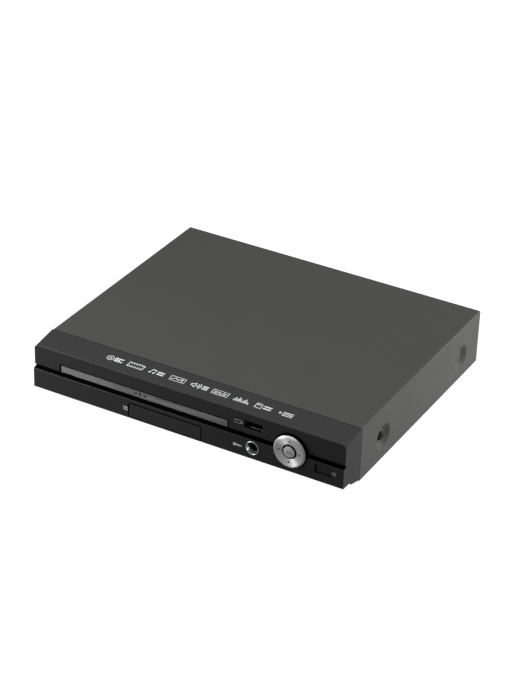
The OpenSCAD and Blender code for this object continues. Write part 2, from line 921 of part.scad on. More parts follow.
module tact_switch(x, z) {
  block(x - switch_hw, x + switch_hw, front_board_y - switch_h, front_board_y, z - switch_hw, z + switch_hw);
  rod_y(x, switch_tip, front_board_y - switch_h, z, 1.8);
}

module tact_switches() {
  color("#303030")
    place() {
      for (a = [0:90:270])
        tact_switch(dial_x + rocker_reach * cos(a), dial_z + rocker_reach * sin(a));
      tact_switch(dial_x, dial_z);
      tact_switch(power_x, power_z);
    }
}

module front_board() {
  y1 = front_board_y + board_t;
  color("#2f6b3c")
    place()
      difference() {
        union() {
          block(front_board_x0, front_board_x1, front_board_y, y1, front_board_z0, front_board_step_z);
          block(front_board_step_x, front_board_x1, front_board_y, y1, front_board_z0, front_board_top);
        }
        // clear of the jack, the USB port and the screws
        block(jack_x - 7.3, jack_x + 7.3, front_board_y - 1, y1 + 1, -1, jack_z + 7.3);
        block(usb_x - 7, usb_x + 7, front_board_y - 1, y1 + 1, usb_z - 3.3, far);
        for (x = [front_board_step_x + 3.5, front_board_x1 - 4])
          rod_y(x, front_board_y - 1, y1 + 1, front_board_top - 5, 3);
      }
}

jack_l = 14;
jack_mouth = 2.8;
jack_front = lower_y - 0.3;

// chrome sleeve: a round-edged ring at the front, and a mouth that narrows to the bore for the plug
module mic_jack_sleeve() {
  edge = 0.4;
  mouth_r = jack_flange_d / 2 - 2 * edge;
  mouth_l = jack_mouth - edge;
  color("#b9bcbf")
    place()
      difference() {
        union() {
          turned_y(jack_x, jack_front, jack_z) {
            translate([0, edge])
              square([jack_flange_d / 2, jack_seat + lower_y - jack_front - edge]);
            translate([mouth_r + edge, edge])
              circle(edge, $fn = 24);
          }
          rod_y(jack_x, lower_y + jack_seat - eps, jack_front + jack_l, jack_z, jack_ferrule_d);
        }
        rod_y(jack_x, jack_front - 1, jack_front + jack_l + 1, jack_z, jack_bore);
        translate([jack_x, jack_front + edge - eps, jack_z])
          rotate([-90, 0, 0])
            cylinder(h = mouth_l, r1 = mouth_r, d2 = jack_bore);
      }
}

module mic_jack_body() {
  y0 = inner_y + 3.4;
  y1 = jack_front + jack_l + 14;
  h = 5.5;
  color("#1f1f20")
    place()
      difference() {
        block(jack_x - 6.8, jack_x + 6.8, y0, y1, jack_z - h, jack_z + h);
        rod_y(jack_x, y0 - 1, jack_front + jack_l + 0.1, jack_z, jack_ferrule_d);
        rod_y(jack_x, y0 - 1, y1 - 2, jack_z, jack_bore + 0.6);
      }
}

module usb_shell() {
  color("#c9cbcc")
    place()
      difference() {
        along_y(usb_front, usb_front + usb_l)
          translate([usb_x, usb_z])
            round_rect(usb_w, usb_h, 0.5);
        along_y(usb_front - 1, usb_front + usb_l - usb_wall)
          translate([usb_x, usb_z])
            round_rect(usb_w - 2 * usb_wall, usb_h - 2 * usb_wall, 0.3);
      }
}

module usb_tongue() {
  y0 = usb_front + 1;
  y1 = usb_front + usb_l - usb_wall;
  top = usb_z + usb_h / 2 - usb_wall - 0.5;
  color("#e8e8e4")
    place()
      difference() {
        union() {
          block(usb_x - 5.6, usb_x + 5.6, y0, y1, top - 1.8, top);
          block(usb_x - 5.9, usb_x + 5.9, y1 - 2, y1, usb_z - usb_h / 2 + usb_wall, top + 0.4);
        }
        // four contact tracks
        for (i = [-1.5:1:1.5])
          block(usb_x + i * 2.2 - 0.5, usb_x + i * 2.2 + 0.5, y0 + 0.8, y1 - 2, top - 2, top - 1.65);
      }
}

// flat cable from the front board down to the main board
module front_ribbon() {
  w = 24;
  x = bay_x1 - w / 2 - 8.2;
  z0 = board_top;
  z1 = board_top + 7;
  t = ribbon_t;
  y0 = front_board_y + board_t;
  y1 = main_y0 + 8;
  color("#c8c4b4")
    place() {
      block(x - w / 2 - 1, x + w / 2 + 1, y0, y0 + 3, z1 - 2, z1 + 2);
      block(x - w / 2, x + w / 2, y0 + 3, y1, z1 - t / 2, z1 + t / 2);
      block(x - w / 2, x + w / 2, y1 - t, y1, z0 + socket_h, z1);
      block(x - w / 2 - 1, x + w / 2 + 1, y1 - 2.5, y1 + 1.7, z0, z0 + socket_h);
    }
}

// ---- tray ----

// bar across the front of the tray, with all its front edges broken
module tray_lip() {
  edge = 0.5;
  middle = lip_z0 + lip_h / 2;
  color("#6d6f70")
    place()
      difference() {
        along_y(lip_y, tray_front)
          translate([tray_x, middle])
            round_rect(lip_w, lip_h, 0.5);
        for (s = [-1, 1]) {
          translate([tray_x + s * lip_w / 2, lip_y, 0])
            rotate([0, 0, 45])
              cube([edge * sqrt(2), edge * sqrt(2), far], center = true);
          translate([0, lip_y, middle + s * lip_h / 2])
            rotate([45, 0, 0])
              cube([far, edge * sqrt(2), edge * sqrt(2)], center = true);
        }
      }
}

module disc_tray() {
  floor_z = tray_top - well_depth;
  inner_z = floor_z - small_well_depth;
  rack_y0 = gear_y - 3 * PI * rack_m;
  teeth = floor((tray_back - 2 - rack_y0) / (PI * rack_m));
  color("#2b2c2e")
    place() {
      difference() {
        block(tray_x - tray_hw, tray_x + tray_hw, tray_front, tray_back, tray_z, tray_top);
        // wells for the large and the small disc
        rod_z(tray_x, disc_y, floor_z, far, 2 * (disc_r + well_play));
        rod_z(tray_x, disc_y, inner_z, far, 2 * (small_disc_r + well_play));
        // the slot for spindle and pickup, open to the back
        rod_z(tray_x, disc_y, 0, far, slot_w);
        block(tray_x - slot_r, tray_x + slot_r, disc_y, far, 0, far);
        // finger rests at the front corners of the well, and the thinned tail
        for (s = [-1, 1])
          rod_z(tray_x + s * 47, tray_front + 17, inner_z, far, 18);
        block(tray_x - tray_hw + 4, tray_x + tray_hw - 4, disc_y + disc_r + 6, tray_back - 4, floor_z, far);
        // the back corners
        for (s = [-1, 1])
          translate([tray_x + s * tray_hw, tray_back, 0])
            rotate([0, 0, 45])
              cube([5, 5, far], center = true);
        // channel below for the rack's gear
        block(rack_x - dedendum * rack_m, channel_x1, gear_y - rack_r - 2.5, far, 0, tray_z + channel_h);
      }
      // rack teeth along the channel's left side
      translate([rack_x, 0, tray_z])
        linear_extrude(channel_h + eps)
          polygon(rack_points(rack_y0, teeth));
      // stop that meets the frame's catch when the tray is out
      block(tray_x + tray_hw - stop_in, tray_x + tray_hw - stop_in + 3, stop_y + tray_travel,
        stop_y + tray_travel + stop_l, tray_z - 2, tray_z);
    }
}

// outline of the rack: its back, and straight flanks that face +x
function rack_points(y0, teeth) =
  let (pitch = PI * rack_m, a = addendum * rack_m, d = dedendum * rack_m,
    tip = pitch / 4 - tooth_play - a * tan(pressure), root = pitch / 4 - tooth_play + d * tan(pressure))
  concat([[-d - 0.5, y0 + teeth * pitch], [-d - 0.5, y0]],
    [for (k = [0:teeth - 1]) let (c = y0 + (k + 0.5) * pitch)
      each [[-d, c - root], [a, c - tip], [a, c + tip], [-d, c + root]]]);

// ---- loader ----

module loader_floor() {
  difference() {
    translate([loader_x0, loader_step_y])
      square([loader_x1 - loader_x0, loader_back - loader_step_y]);
    // openings for the cradle and for the cam slide
    translate([tray_x - cradle_hw - 1, cradle_front - 1])
      square([2 * cradle_hw + 2, cradle_back - cradle_front + 3]);
    translate([tray_x + cam_x0 - 1.5, cam_pin_y - 2.2])
      square([cam_l + cam_travel + 3, 4]);
    translate([motor_x, motor_y])
      circle(d = motor_d - 4);
    for (p = loader_bosses)
      translate(p)
        circle(d = screw_hole);
  }
}

cam_x0 = -cradle_hw + 7.5;
cam_l = 52;

// guide for one edge of the tray: wall, ledge and hold-down tabs; s is the side
module tray_guide(s, y0) {
  inner = tray_hw + guide_gap;
  translate([tray_x, 0, 0])
    mirror([s < 0 ? 1 : 0, 0, 0]) {
      block(inner, inner + loader_wall, loader_step_y, loader_back, loader_floor_z, guide_top);
      block(inner, inner + loader_wall, y0, loader_step_y + eps, loader_shelf_z, guide_top);
      block(inner - ledge_w, inner, y0, loader_back, tray_z - guide_gap - 2, tray_z - guide_gap);
      for (y = [10, 72, loader_back - tab_l - 4])
        block(inner - 3, inner, y, y + tab_l, tray_top + guide_gap, guide_top);
    }
}

module loader_frame() {
  lug_w = 3.4;
  color("#3b3d40")
    place()
      difference() {
        union() {
          translate([0, 0, loader_floor_z])
            linear_extrude(loader_floor_t)
              loader_floor();
          tray_guide(-1, loader_front);
          tray_guide(1, loader_step);
          // catch in front of the tray's stop
          block(tray_x + tray_hw - stop_in, tray_x + tray_hw - 2, stop_y - 3.5, stop_y - guide_gap,
            tray_z - guide_gap - 2, tray_z - guide_gap);
          // wall behind the floor
          block(loader_x0, loader_x1, loader_back - loader_wall, loader_back, loader_floor_z, tray_z - 2.5);
          // shelf under the drive gear, with its riser
          block(loader_x0, gear_x + wheel_r + 3, loader_front, loader_step_y + loader_wall, loader_shelf_z,
            loader_shelf_z + loader_floor_t);
          block(loader_x0, gear_x + wheel_r + 3, loader_step_y, loader_step_y + loader_wall, loader_floor_z,
            loader_shelf_z + loader_floor_t);
          // posts of the two gears
          rod_z(gear_x, gear_y, loader_shelf_z, wheel_z - 0.2, 8);
          rod_z(gear_x, gear_y, wheel_z - 1, tray_z + 0.8, post_d);
          rod_z(pulley_x, pulley_y, loader_floor_top - 1, wheel_z - 0.2, 8);
          rod_z(pulley_x, pulley_y, wheel_z - 1, tray_z - 1.2, post_d);
          // bearing lugs of the cradle's hinge
          for (s = [-1, 1])
            translate([tray_x + s * (cradle_hw + 1 + lug_w / 2 + 0.2), 0, 0])
              block(-lug_w / 2, lug_w / 2, hinge_y - 4, hinge_y + 4, loader_floor_z, hinge_z + 4);
          // hooks over the cam slide's foot
          for (x = [cam_x0 + 22, cam_x0 + cam_l - 5])
            translate([tray_x + x, 0, 0]) {
              block(-3, 3, cam_foot_y - 2.4, cam_foot_y - cam_play, loader_floor_top - 1, cam_foot_z + 2.6);
              block(-3, 3, cam_foot_y - 2.4, cam_foot_y + 2.4, cam_foot_z + cam_foot_t + cam_play,
                cam_foot_z + cam_foot_t + 1.6);
            }
          // seats of the clamp bridge
          for (x = [loader_x0, loader_x1 - loader_wall])
            translate([x, 0, 0])
              block(0, loader_wall, disc_y - bridge_hw, disc_y + bridge_hw, guide_top - 1, bridge_z);
          for (s = [0, 1])
            translate([s == 0 ? loader_x0 - bridge_ear : loader_x1 - 1, 0, 0])
              block(0, bridge_ear + 1, disc_y - 5, disc_y + 5, bridge_z - 10, bridge_z);
          // ribs round the motor
          rod_z(motor_x, motor_y, loader_floor_top - 1, loader_floor_top + 3, motor_d + 3);
        }
        rod_z(motor_x, motor_y, loader_floor_top, far, motor_d + 0.2);
        rod_x(tray_x - far / 2, tray_x + far / 2, hinge_y, hinge_z, hinge_d + 2 * shaft_play);
        for (x = bridge_screws_x)
          rod_z(x, disc_y, bridge_z - 8, far, thread_d);
        // the cradle's openings are free above the floor too
        block(tray_x - cradle_hw - 0.6, tray_x + cradle_hw + 0.6, cradle_front - 1, cradle_back + 2,
          0, tray_z - 4);
      }
}

cam_foot_y = cam_pin_y - 7;
cam_foot_z = loader_floor_top + cam_play;
cam_foot_t = 1.8;

module loader_screws() {
  color("#8d8f91")
    place()
      for (p = loader_bosses)
        translate([p[0], p[1], loader_floor_top])
          pan_screw(4);
}

module loading_motor() {
  top = pulley_z - 0.6;
  color("#a9acad")
    place() {
      intersection() {
        rod_z(motor_x, motor_y, loader_floor_top, top, motor_d);
        translate([motor_x, motor_y, top / 2])
          rotate([0, 0, 30])
            cube([motor_d, motor_d * 0.78, far], center = true);
      }
      rod_z(motor_x, motor_y, top - 0.5, top + 0.3, 6);
      rod_z(motor_x, motor_y, top, pulley_z + pulley_face + 0.4, 1.5);
    }
}

// grooved pulley turned about z, from z0 up
module pulley(groove_r, z0) {
  translate([0, 0, z0])
    rotate_extrude()
      difference() {
        square([groove_r + flange_h, pulley_face]);
        translate([groove_r, (pulley_face - belt_t) / 2 - 0.1])
          square([flange_h + 1, belt_t + 0.2]);
      }
}

module motor_pulley() {
  color("#d9d4c4")
    place()
      translate([motor_x, motor_y, 0])
        difference() {
          pulley(motor_pulley_r, pulley_z);
          rod_z(0, 0, 0, far, 1.5 + 2 * shaft_play);
        }
}

module drive_belt() {
  play = 0.06;
  z = pulley_z + (pulley_face - belt_t) / 2;
  color("#151515")
    place()
      translate([0, 0, z])
        linear_extrude(belt_t)
          difference() {
            hull() {
              translate([motor_x, motor_y])
                circle(motor_pulley_r + play + belt_t * 0.7);
              translate([pulley_x, pulley_y])
                circle(pulley_r + play + belt_t * 0.7);
            }
            hull() {
              translate([motor_x, motor_y])
                circle(motor_pulley_r + play);
              translate([pulley_x, pulley_y])
                circle(pulley_r + play);
            }
          }
}

module pulley_gear() {
  color("#d9d4c4")
    place()
      translate([pulley_x, pulley_y, 0])
        difference() {
          union() {
            pulley(pulley_r, pulley_z);
            translate([0, 0, wheel_z])
              rotate([0, 0, pulley_angle + 180 + 180 / pinion_teeth])
                gear(pinion_teeth, wheel_m, wheel_face);
            rod_z(0, 0, wheel_z + wheel_face - eps, pulley_z + eps, 2 * pinion_r - 2);
          }
          rod_z(0, 0, 0, far, post_d + 2 * shaft_play);
        }
}

module drive_gear() {
  color("#d9d4c4")
    place()
      translate([gear_x, gear_y, 0])
        difference() {
          union() {
            translate([0, 0, wheel_z])
              rotate([0, 0, pulley_angle])
                gear(wheel_teeth, wheel_m, wheel_face);
            rod_z(0, 0, wheel_z + wheel_face - eps, rack_gear_z + eps, 2 * rack_r - 5);
            translate([0, 0, rack_gear_z])
              gear(rack_teeth, rack_m, rack_gear_face);
          }
          rod_z(0, 0, 0, far, post_d + 2 * shaft_play);
          // lightening holes in the wheel
          for (a = [0:60:300])
            rotate([0, 0, a])
              rod_z(wheel_r - 3.4, 0, wheel_z - 1, wheel_z + wheel_face + 1, 2.6);
        }
}

// ---- cradle ----

// slide with two sloping slots that lower the cradle's front pins
module cam_slide() {
  slot = cam_pin_d + 2 * cam_play;
  run = norm([cam_travel, cam_drop]);
  slope = atan(cam_drop / cam_travel);
  low = hinge_z - cam_drop - slot / 2 - 1.2;
  color("#e0ddd0")
    place()
      translate([tray_x, 0, 0]) {
        difference() {
          block(cam_x0, cam_x0 + cam_l, cam_pin_y - cam_t / 2, cam_pin_y + cam_t / 2, low, hinge_z + 4.2);
          for (x = cam_pins)
            along_y(cam_pin_y - 3, cam_pin_y + 3)
              translate([x, hinge_z])
                rotate(slope) {
                  circle(d = slot);
                  translate([-run, 0])
                    circle(d = slot);
                  translate([-run, -slot / 2])
                    square([run, slot]);
                }
        }
        difference() {
          block(cam_x0, cam_x0 + cam_l, cam_foot_y, cam_pin_y - cam_t / 2 + eps, cam_foot_z,
            cam_foot_z + cam_foot_t);
          for (x = [cam_x0 + 10, cam_x0 + cam_l - 16])
            translate([x, (cam_foot_y + cam_pin_y - cam_t / 2) / 2, cam_foot_z - 1])
              cylinder(h = 4, d = 3);
        }
      }
}

module cradle_frame() {
  inner_hw = cradle_hw - rail_w;
  z1 = cradle_z + cradle_t;
  color("#c9c7bd")
    place()
      translate([tray_x, 0, 0])
        union() {
          difference() {
            block(-cradle_hw, cradle_hw, cradle_front, cradle_back, cradle_z, z1);
            block(-inner_hw, inner_hw, cradle_front + 3, cradle_back - 8, 0, far);
          }
          // corner pads under the dampers
          for (p = damper_spots)
            rod_z(p[0], p[1], cradle_z, z1, damper_d);
          for (s = [-1, 1])
            translate([s * 25.5, 0, 0])
              block(-damper_d / 2, damper_d / 2, cradle_front, cradle_front + 6.5, cradle_z, z1);
          for (sx = [-1, 1])
            translate([sx * cradle_hw, 0, 0])
              rod_x(-1, 1, hinge_y, hinge_z, hinge_d + 2);
          for (sx = [-1, 1])
            translate([sx * (cradle_hw + 2.4), 0, 0])
              rod_x(-2.4, 2.4, hinge_y, hinge_z, hinge_d);
          for (x = cam_pins)
            rod_y(x, cam_pin_y - cam_t / 2 + 0.1, cradle_front + 1, hinge_z, cam_pin_d);
        }
}

module at_dampers() {
  for (p = damper_spots)
    translate([tray_x + p[0], p[1], 0])
      children();
}

module dampers() {
  z0 = cradle_z + cradle_t;
  color("#1a1a1a")
    place()
      at_dampers() {
        rod_z(0, 0, z0, plate_z, damper_d);
        rod_z(0, 0, plate_z - eps, plate_top + eps, neck_d);
        rod_z(0, 0, plate_top, plate_top + 1.4, damper_d);
      }
}

// steel plate that carries spindle motor, rods and screw, on the dampers
module traverse_plate() {
  color("#b4b8ba")
    place()
      difference() {
        union() {
          block(tray_x - plate_hw, tray_x + plate_hw, cradle_front + 2, cradle_back - 1, plate_z, plate_top);
          // holders of the rods, fore and aft
          for (s = [-1, 1], y = [rods_y0, rods_y1 - 2])
            translate([tray_x + s * rods_x, y, 0])
              block(-2.6, 2.6, 0, 2, rods_z - 2.4, plate_z + eps);
          for (y = [rods_y1 - 2])
            translate([tray_x - screw_x, y, 0])
              block(-2.4, 2.4, 0, 2, screw_z - 2.4, plate_z + eps);
        }
        // window for the sled
        block(tray_x - slot_r, tray_x + slot_r, disc_y + 11, lens_y + sled_rear + sled_travel + 2, 0, far);
        rod_z(tray_x, disc_y, 0, far, 9);
        at_dampers()
          rod_z(0, 0, 0, far, neck_d);
        for (s = [-1, 1])
          rod_y(tray_x + s * rods_x, 0, far, rods_z, rod_d);
        rod_y(tray_x - screw_x, 0, far, screw_z, screw_d + 2 * shaft_play);
      }
}

spindle_z0 = plate_z - 5;
shaft_d = 2;

module spindle_motor() {
  color("#9ea2a4")
    place()
      difference() {
        union() {
          rod_z(tray_x, disc_y, spindle_z0, plate_z, 22);
          rod_z(tray_x, disc_y, plate_z - eps, plate_top + 0.2, 8.8);
        }
        rod_z(tray_x, disc_y, spindle_z0 + 1, far, shaft_d + 2 * shaft_play);
      }
}

module turntable() {
  rotor_z = plate_top + 0.6;
  disc_z = disc_seat_z - 1.8;
  color("#d2d3d1")
    place()
      translate([tray_x, disc_y, 0])
        rotate_extrude()
          union() {
            translate([0, spindle_z0 + 2])
              square([shaft_d / 2, rotor_z - spindle_z0]);
            translate([0, rotor_z])
              square([rotor_r, disc_z - rotor_z]);
            translate([0, disc_z - eps])
              square([turntable_r, 1.4 + eps]);
            // centring cone
            translate([0, disc_z + 1.4 - eps])
              polygon([[0, 0], [7.4, 0], [7.4, 1.2], [6.2, 2.4], [2, 2.6], [0, 2.6]]);
          }
}

// soft ring that the disc rests on
module disc_grip() {
  color("#191919")
    place()
      translate([tray_x, disc_y, disc_seat_z - 0.4])
        rotate_extrude()
          translate([turntable_r - 3.2, 0])
            square([3, 0.4]);
}

module guide_rods() {
  color("#d5d8da")
    place()
      for (s = [-1, 1])
        rod_y(tray_x + s * rods_x, rods_y0, rods_y1, rods_z, rod_d);
}

module sled_motor() {
  x = tray_x - screw_x;
  color("#a2a5a7")
    place()
      difference() {
        union() {
          rod_y(x, disc_y - 4, disc_y + 8, screw_z, sled_motor_d);
          block(x - 3, x + 3, disc_y - 3, disc_y + 7, screw_z, plate_z);
        }
        rod_y(x, disc_y - 2, disc_y + 9, screw_z, screw_d + 2 * shaft_play);
      }
}

module lead_screw() {
  x = tray_x - screw_x;
  color("#c4c7c9")
    place() {
      rod_y(x, disc_y - 1, rods_y1 + 0.5, screw_z, screw_d);
      rod_y(x, disc_y + 8.3, disc_y + 9.3, screw_z, screw_d + 1.6);
    }
}

module pickup_sled() {
  y0 = lens_y - sled_front;
  y1 = lens_y + sled_rear;
  top = plate_top + 2.2;
  color("#85888a")
    place()
      translate([tray_x, 0, 0])
        difference() {
          union() {
            block(-14.5, 14.5, y0, y1, rods_z - 2.2, top);
            // long bush on the right rod, short one on the left
            rod_y(rods_x, y0, y1, rods_z, bush_d);
            block(14, rods_x, y0, y1, rods_z - 1.4, rods_z + 1.4);
            rod_y(-rods_x, lens_y - 3, lens_y + 4, rods_z, bush_d);
            block(-screw_x + 1, -14, lens_y - 3, lens_y + 4, rods_z - 2.6, rods_z + 0.4);
            // follower round the lead screw
            rod_y(-screw_x, lens_y - 3, lens_y + 4, screw_z, screw_d + 2.4);
            // lens tower
            rod_z(0, lens_y, top - eps, disc_seat_z - 2.6, 13);
          }
          for (s = [-1, 1])
            rod_y(s * rods_x, y0 - 1, y1 + 1, rods_z, rod_d + 2 * shaft_play);
          rod_y(-screw_x, y0, y1, screw_z, screw_d + 2 * shaft_play);
          rod_z(0, lens_y, top - 1, far, 9);
          // hollow below
          block(-11.5, 11.5, y0 + 3, y1 - 3, 0, top - 3);
        }
}

module objective_lens() {
  top = plate_top + 2.2;
  color("#5b6fa8")
    place()
      translate([tray_x, lens_y, top - 1])
        rotate_extrude()
          union() {
            square([4.5, disc_seat_z - 2.6 - top + 0.6]);
            translate([0, disc_seat_z - 2.6 - top + 0.6 - eps])
              intersection() {
                square([3.2, 1.2]);
                translate([0, -4.4])
                  circle(5.6, $fn = 96);
              }
          }
}

// ---- clamp ----

module clamp_bridge() {
  color("#b4b8ba")
    place()
      difference() {
        union() {
          block(loader_x0 - bridge_ear, loader_x1 + bridge_ear, disc_y - 5, disc_y + 5, bridge_z,
            bridge_z + bridge_t);
          block(loader_x0, loader_x1, disc_y - bridge_hw, disc_y + bridge_hw, bridge_z, bridge_z + bridge_t);
          for (s = [0, 1])
            translate([0, s * (2 * bridge_hw - bridge_t), 0])
              block(loader_x0, loader_x1, disc_y - bridge_hw, disc_y - bridge_hw + bridge_t, bridge_z,
                bridge_z + 3);
        }
        rod_z(tray_x, disc_y, 0, far, 2 * clamper_r + 1.2);
        for (x = bridge_screws_x)
          rod_z(x, disc_y, 0, far, screw_hole);
        // ribs pressed through as slots
        for (s = [-1, 1])
          translate([tray_x + s * 36, disc_y, 0])
            linear_extrude(far)
              round_rect(26, 8, 3);
      }
}

module clamper() {
  color("#e4e2d8")
    place()
      translate([tray_x, disc_y, 0])
        rotate_extrude()
          difference() {
            union() {
              translate([0, clamper_z])
                square([clamper_r, bridge_z + bridge_t - clamper_z + 1]);
              translate([0, bridge_z + bridge_t + 0.2])
                square([clamper_r + 3, 1.2]);
              translate([0, bridge_z + bridge_t + 1])
                square([9, 1]);
            }
            translate([-1, clamper_z - 1])
              square([9, 2.4]);
          }
}

// ---- boards ----

module board_with_holes(x0, x1, y0, y1, spots) {
  difference() {
    block(x0, x1, y0, y1, board_z, board_top);
    for (p = spots)
      rod_z(p[0], p[1], 0, far, screw_hole);
  }
}

module main_board() {
  color("#2f6b3c")
    place()
      board_with_holes(bay_x0, bay_x1, main_y0, main_y1, main_bosses);
}

// chip body with its row of leads as one skirt
module chip(x, y, w, d, h) {
  block(x - w / 2, x + w / 2, y - d / 2, y + d / 2, board_top + 0.2, board_top + h);
  block(x - w / 2 - 1, x + w / 2 + 1, y - d / 2 + 1, y + d / 2 - 1, board_top, board_top + 0.4);
}

module main_chips() {
  mx = (bay_x0 + bay_x1) / 2;
  my = (main_y0 + main_y1) / 2;
  l = main_y1 - main_y0;
  color("#1a1a1a")
    place() {
      chip(mx - 6, my + 0.03 * l, 20, 20, 1.8);
      chip(mx + 18, my + 0.055 * l, 10, 21, 1.4);
      chip(mx + 16, my - 0.215 * l, 12, 8, 1.6);
      chip(mx - 14, my + 0.3 * l, 8, 5, 1.4);
    }
}

module board_screws() {
  color("#8d8f91")
    place() {
      for (p = concat(main_bosses, power_bosses, av_bosses))
        translate([p[0], p[1], board_top])
          pan_screw(5);
      // the clamp bridge's two screws
      for (x = bridge_screws_x)
        translate([x, disc_y, bridge_z + bridge_t])
          pan_screw(6);
    }
}

module power_board() {
  color("#9a7b4a")
    place()
      board_with_holes(bay_x0, bay_x1, power_y0, power_y1, power_bosses);
}

// bobbin with flanges below and above, and its core round it
coil_w = 24;
coil_l = 20;
coil_h = 16;
coil_flange = 3;
coil_leg = 4;

module transformer() {
  x = bay_x0 + coil_w;
  y = power_y0 + 26;
  low = board_top + coil_flange;
  high = board_top + coil_h - coil_flange;
  color("#d8c44a")
    place()
      translate([x, y, 0]) {
        for (z = [board_top, high])
          block(-coil_w / 2, coil_w / 2, -coil_l / 2, coil_l / 2, z, z + coil_flange);
        block(coil_leg - coil_w / 2, coil_w / 2 - coil_leg, 2 - coil_l / 2, coil_l / 2 - 2, low, high);
        for (s = [0, 1])
          translate([s * (coil_w - coil_leg) - coil_w / 2, 0, 0])
            block(0, coil_leg, -coil_l / 4, coil_l / 4, low, high);
      }
}

module capacitor(x, y, d, h) {
  translate([x, y, board_top])
    rotate_extrude()
      difference() {
        square([d / 2, h]);
        translate([d / 2 + 0.5, 2])
          circle(0.9, $fn = 24);
      }
}

big_cap_d = 16;
big_cap_h = 20;
middle_cap_d = 10;
middle_cap_h = 16;
small_cap_d = 8;
small_cap_h = 13;
small_cap_pitch = 11;

module capacitors() {
  color("#23293f")
    place() {
      capacitor(bay_x1 - 14, power_y0 + 40, big_cap_d, big_cap_h);
      capacitor(bay_x0 + 9, power_y0 + 46, middle_cap_d, middle_cap_h);
      for (i = [0:3])
        capacitor(bay_x0 + 10 + i * small_cap_pitch, power_y0 + 8.5, small_cap_d, small_cap_h);
    }
}

sink_w = 18;
sink_h = 20;
sink_t = 2;
fin_l = 4;
fin_t = 1.2;
fin_pitch = 2.8;

module heat_sink() {
  color("#c3c6c8")
    place()
      translate([bay_x1 - 14, power_y0 + 21, board_top]) {
        block(-sink_w / 2, sink_w / 2, 0, sink_t, 0, sink_h);
        for (i = [-3:3])
          block(i * fin_pitch - fin_t / 2, i * fin_pitch + fin_t / 2, -fin_l, eps, 2, sink_h);
      }
}

module inlet_opening() {
  along_y(0, far)
    for (s = [-1, 1])
      translate([s * 4, 0])
        circle(4.3);
  along_y(0, far)
    square([8, 8.6], center = true);
}

inlet_lip = 0.6;
inlet_recess = 12;
inlet_pin_x = 4.3;

module mains_inlet() {
  y1 = case_d + inlet_lip;
  color("#1c1c1c")
    place()
      difference() {
        union() {
          along_y(panel_y0 - inlet_deep + 2, panel_y1)
            translate([inlet_x, inlet_z])
              round_rect(inlet_w, inlet_h, 0.9);
          along_y(panel_y1, y1)
            translate([inlet_x, inlet_z])
              round_rect(inlet_w + 3, inlet_h + 3, 1.6);
          block(inlet_x - 9, inlet_x + 9, panel_y0 - inlet_deep + 2, panel_y0 - 1, board_top, inlet_z);
        }
        translate([inlet_x, y1 - inlet_recess, inlet_z])
          inlet_opening();
      }
}

module inlet_pins() {
  color("#c7b27a")
    place()
      for (s = [-1, 1])
        rod_y(inlet_x + s * inlet_pin_x, case_d + inlet_lip - inlet_recess, case_d - 2, inlet_z, 2.36);
}

module av_board() {
  color("#2f6b3c")
    place()
      board_with_holes(av_x0 - 8, av_x1 + 8, av_y0, av_y1, av_bosses);
}

module at_rca() {
  for (i = [0:rca_count - 1])
    translate([rca_x0 + i * rca_pitch, 0, 0])
      children();
}

module rca_block() {
  color("#202022")
    place()
      difference() {
        union() {
          block(rca_x0 - rca_pitch / 2, rca_x0 + (rca_count - 0.5) * rca_pitch, panel_y0 - 12, panel_y0,
            board_top, rca_z + 7);
          at_rca()
            rod_y(0, panel_y0 - eps, case_d + rca_nose, rca_z, rca_nose_d);
        }
        at_rca()
          rod_y(0, panel_y0 - 10, far, rca_z, rca_d - 1.4);
        // grooves between the jacks
        for (i = [1:rca_count - 1])
          translate([rca_x0 + (i - 0.5) * rca_pitch, 0, 0])
            block(-0.5, 0.5, panel_y0 - 13, panel_y0 - 1, board_top + 3, far);
      }
}

module rca_barrels() {
  color("#c9ccce")
    place()
      at_rca()
        difference() {
          rod_y(0, case_d + rca_nose, back_y, rca_z, rca_d);
          rod_y(0, 0, far, rca_z, rca_d - 1.4);
        }
}

module rca_inserts() {
  color("#e0c020")
    place()
      at_rca()
        difference() {
          rod_y(0, panel_y0 - 9, back_y - 0.6, rca_z, rca_d - 1.4);
          rod_y(0, panel_y0 - 8, far, rca_z, 3.2);
        }
}

// flat cable from the main board over the loader's right side to the AV board
module av_ribbon() {
  w = 16;
  x = bay_x0 - 4.6;
  t = ribbon_t;
  y0 = main_y1 - 28;
  z0 = board_top + socket_h;
  color("#c8c4b4")
    place() {
      block(bay_x0 + 2, bay_x0 + 8, y0, y0 + w, board_top, z0);
      block(x, bay_x0 + 4, y0, y0 + w, z0, z0 + t);
      block(x, x + t, y0, av_y1 - 2, z0 - 6, z0 + t);
      block(av_x1 + 1, x + t, av_y1 - 10, av_y1 - 2, z0, z0 + t);
      block(av_x1 + 1, av_x1 + 5, av_y1 - 10, av_y1 - 2, board_top, z0);
    }
}

// row of wires from the power board to the main board
module power_harness() {
  x0 = bay_x0 + 34;
  z = board_top + 4;
  color("#b04038")
    place() {
      block(x0 - 2, x0 + 14, power_y0 + 1, power_y0 + 4, board_top, z + 1.5);
      block(x0 - 2, x0 + 14, main_y1 - 4, main_y1 - 1, board_top, z + 1.5);
      for (i = [0:5])
        rod_y(x0 + i * 2.4, main_y1 - 1.5, power_y0 + 1.5, z, 1.4);
    }
}

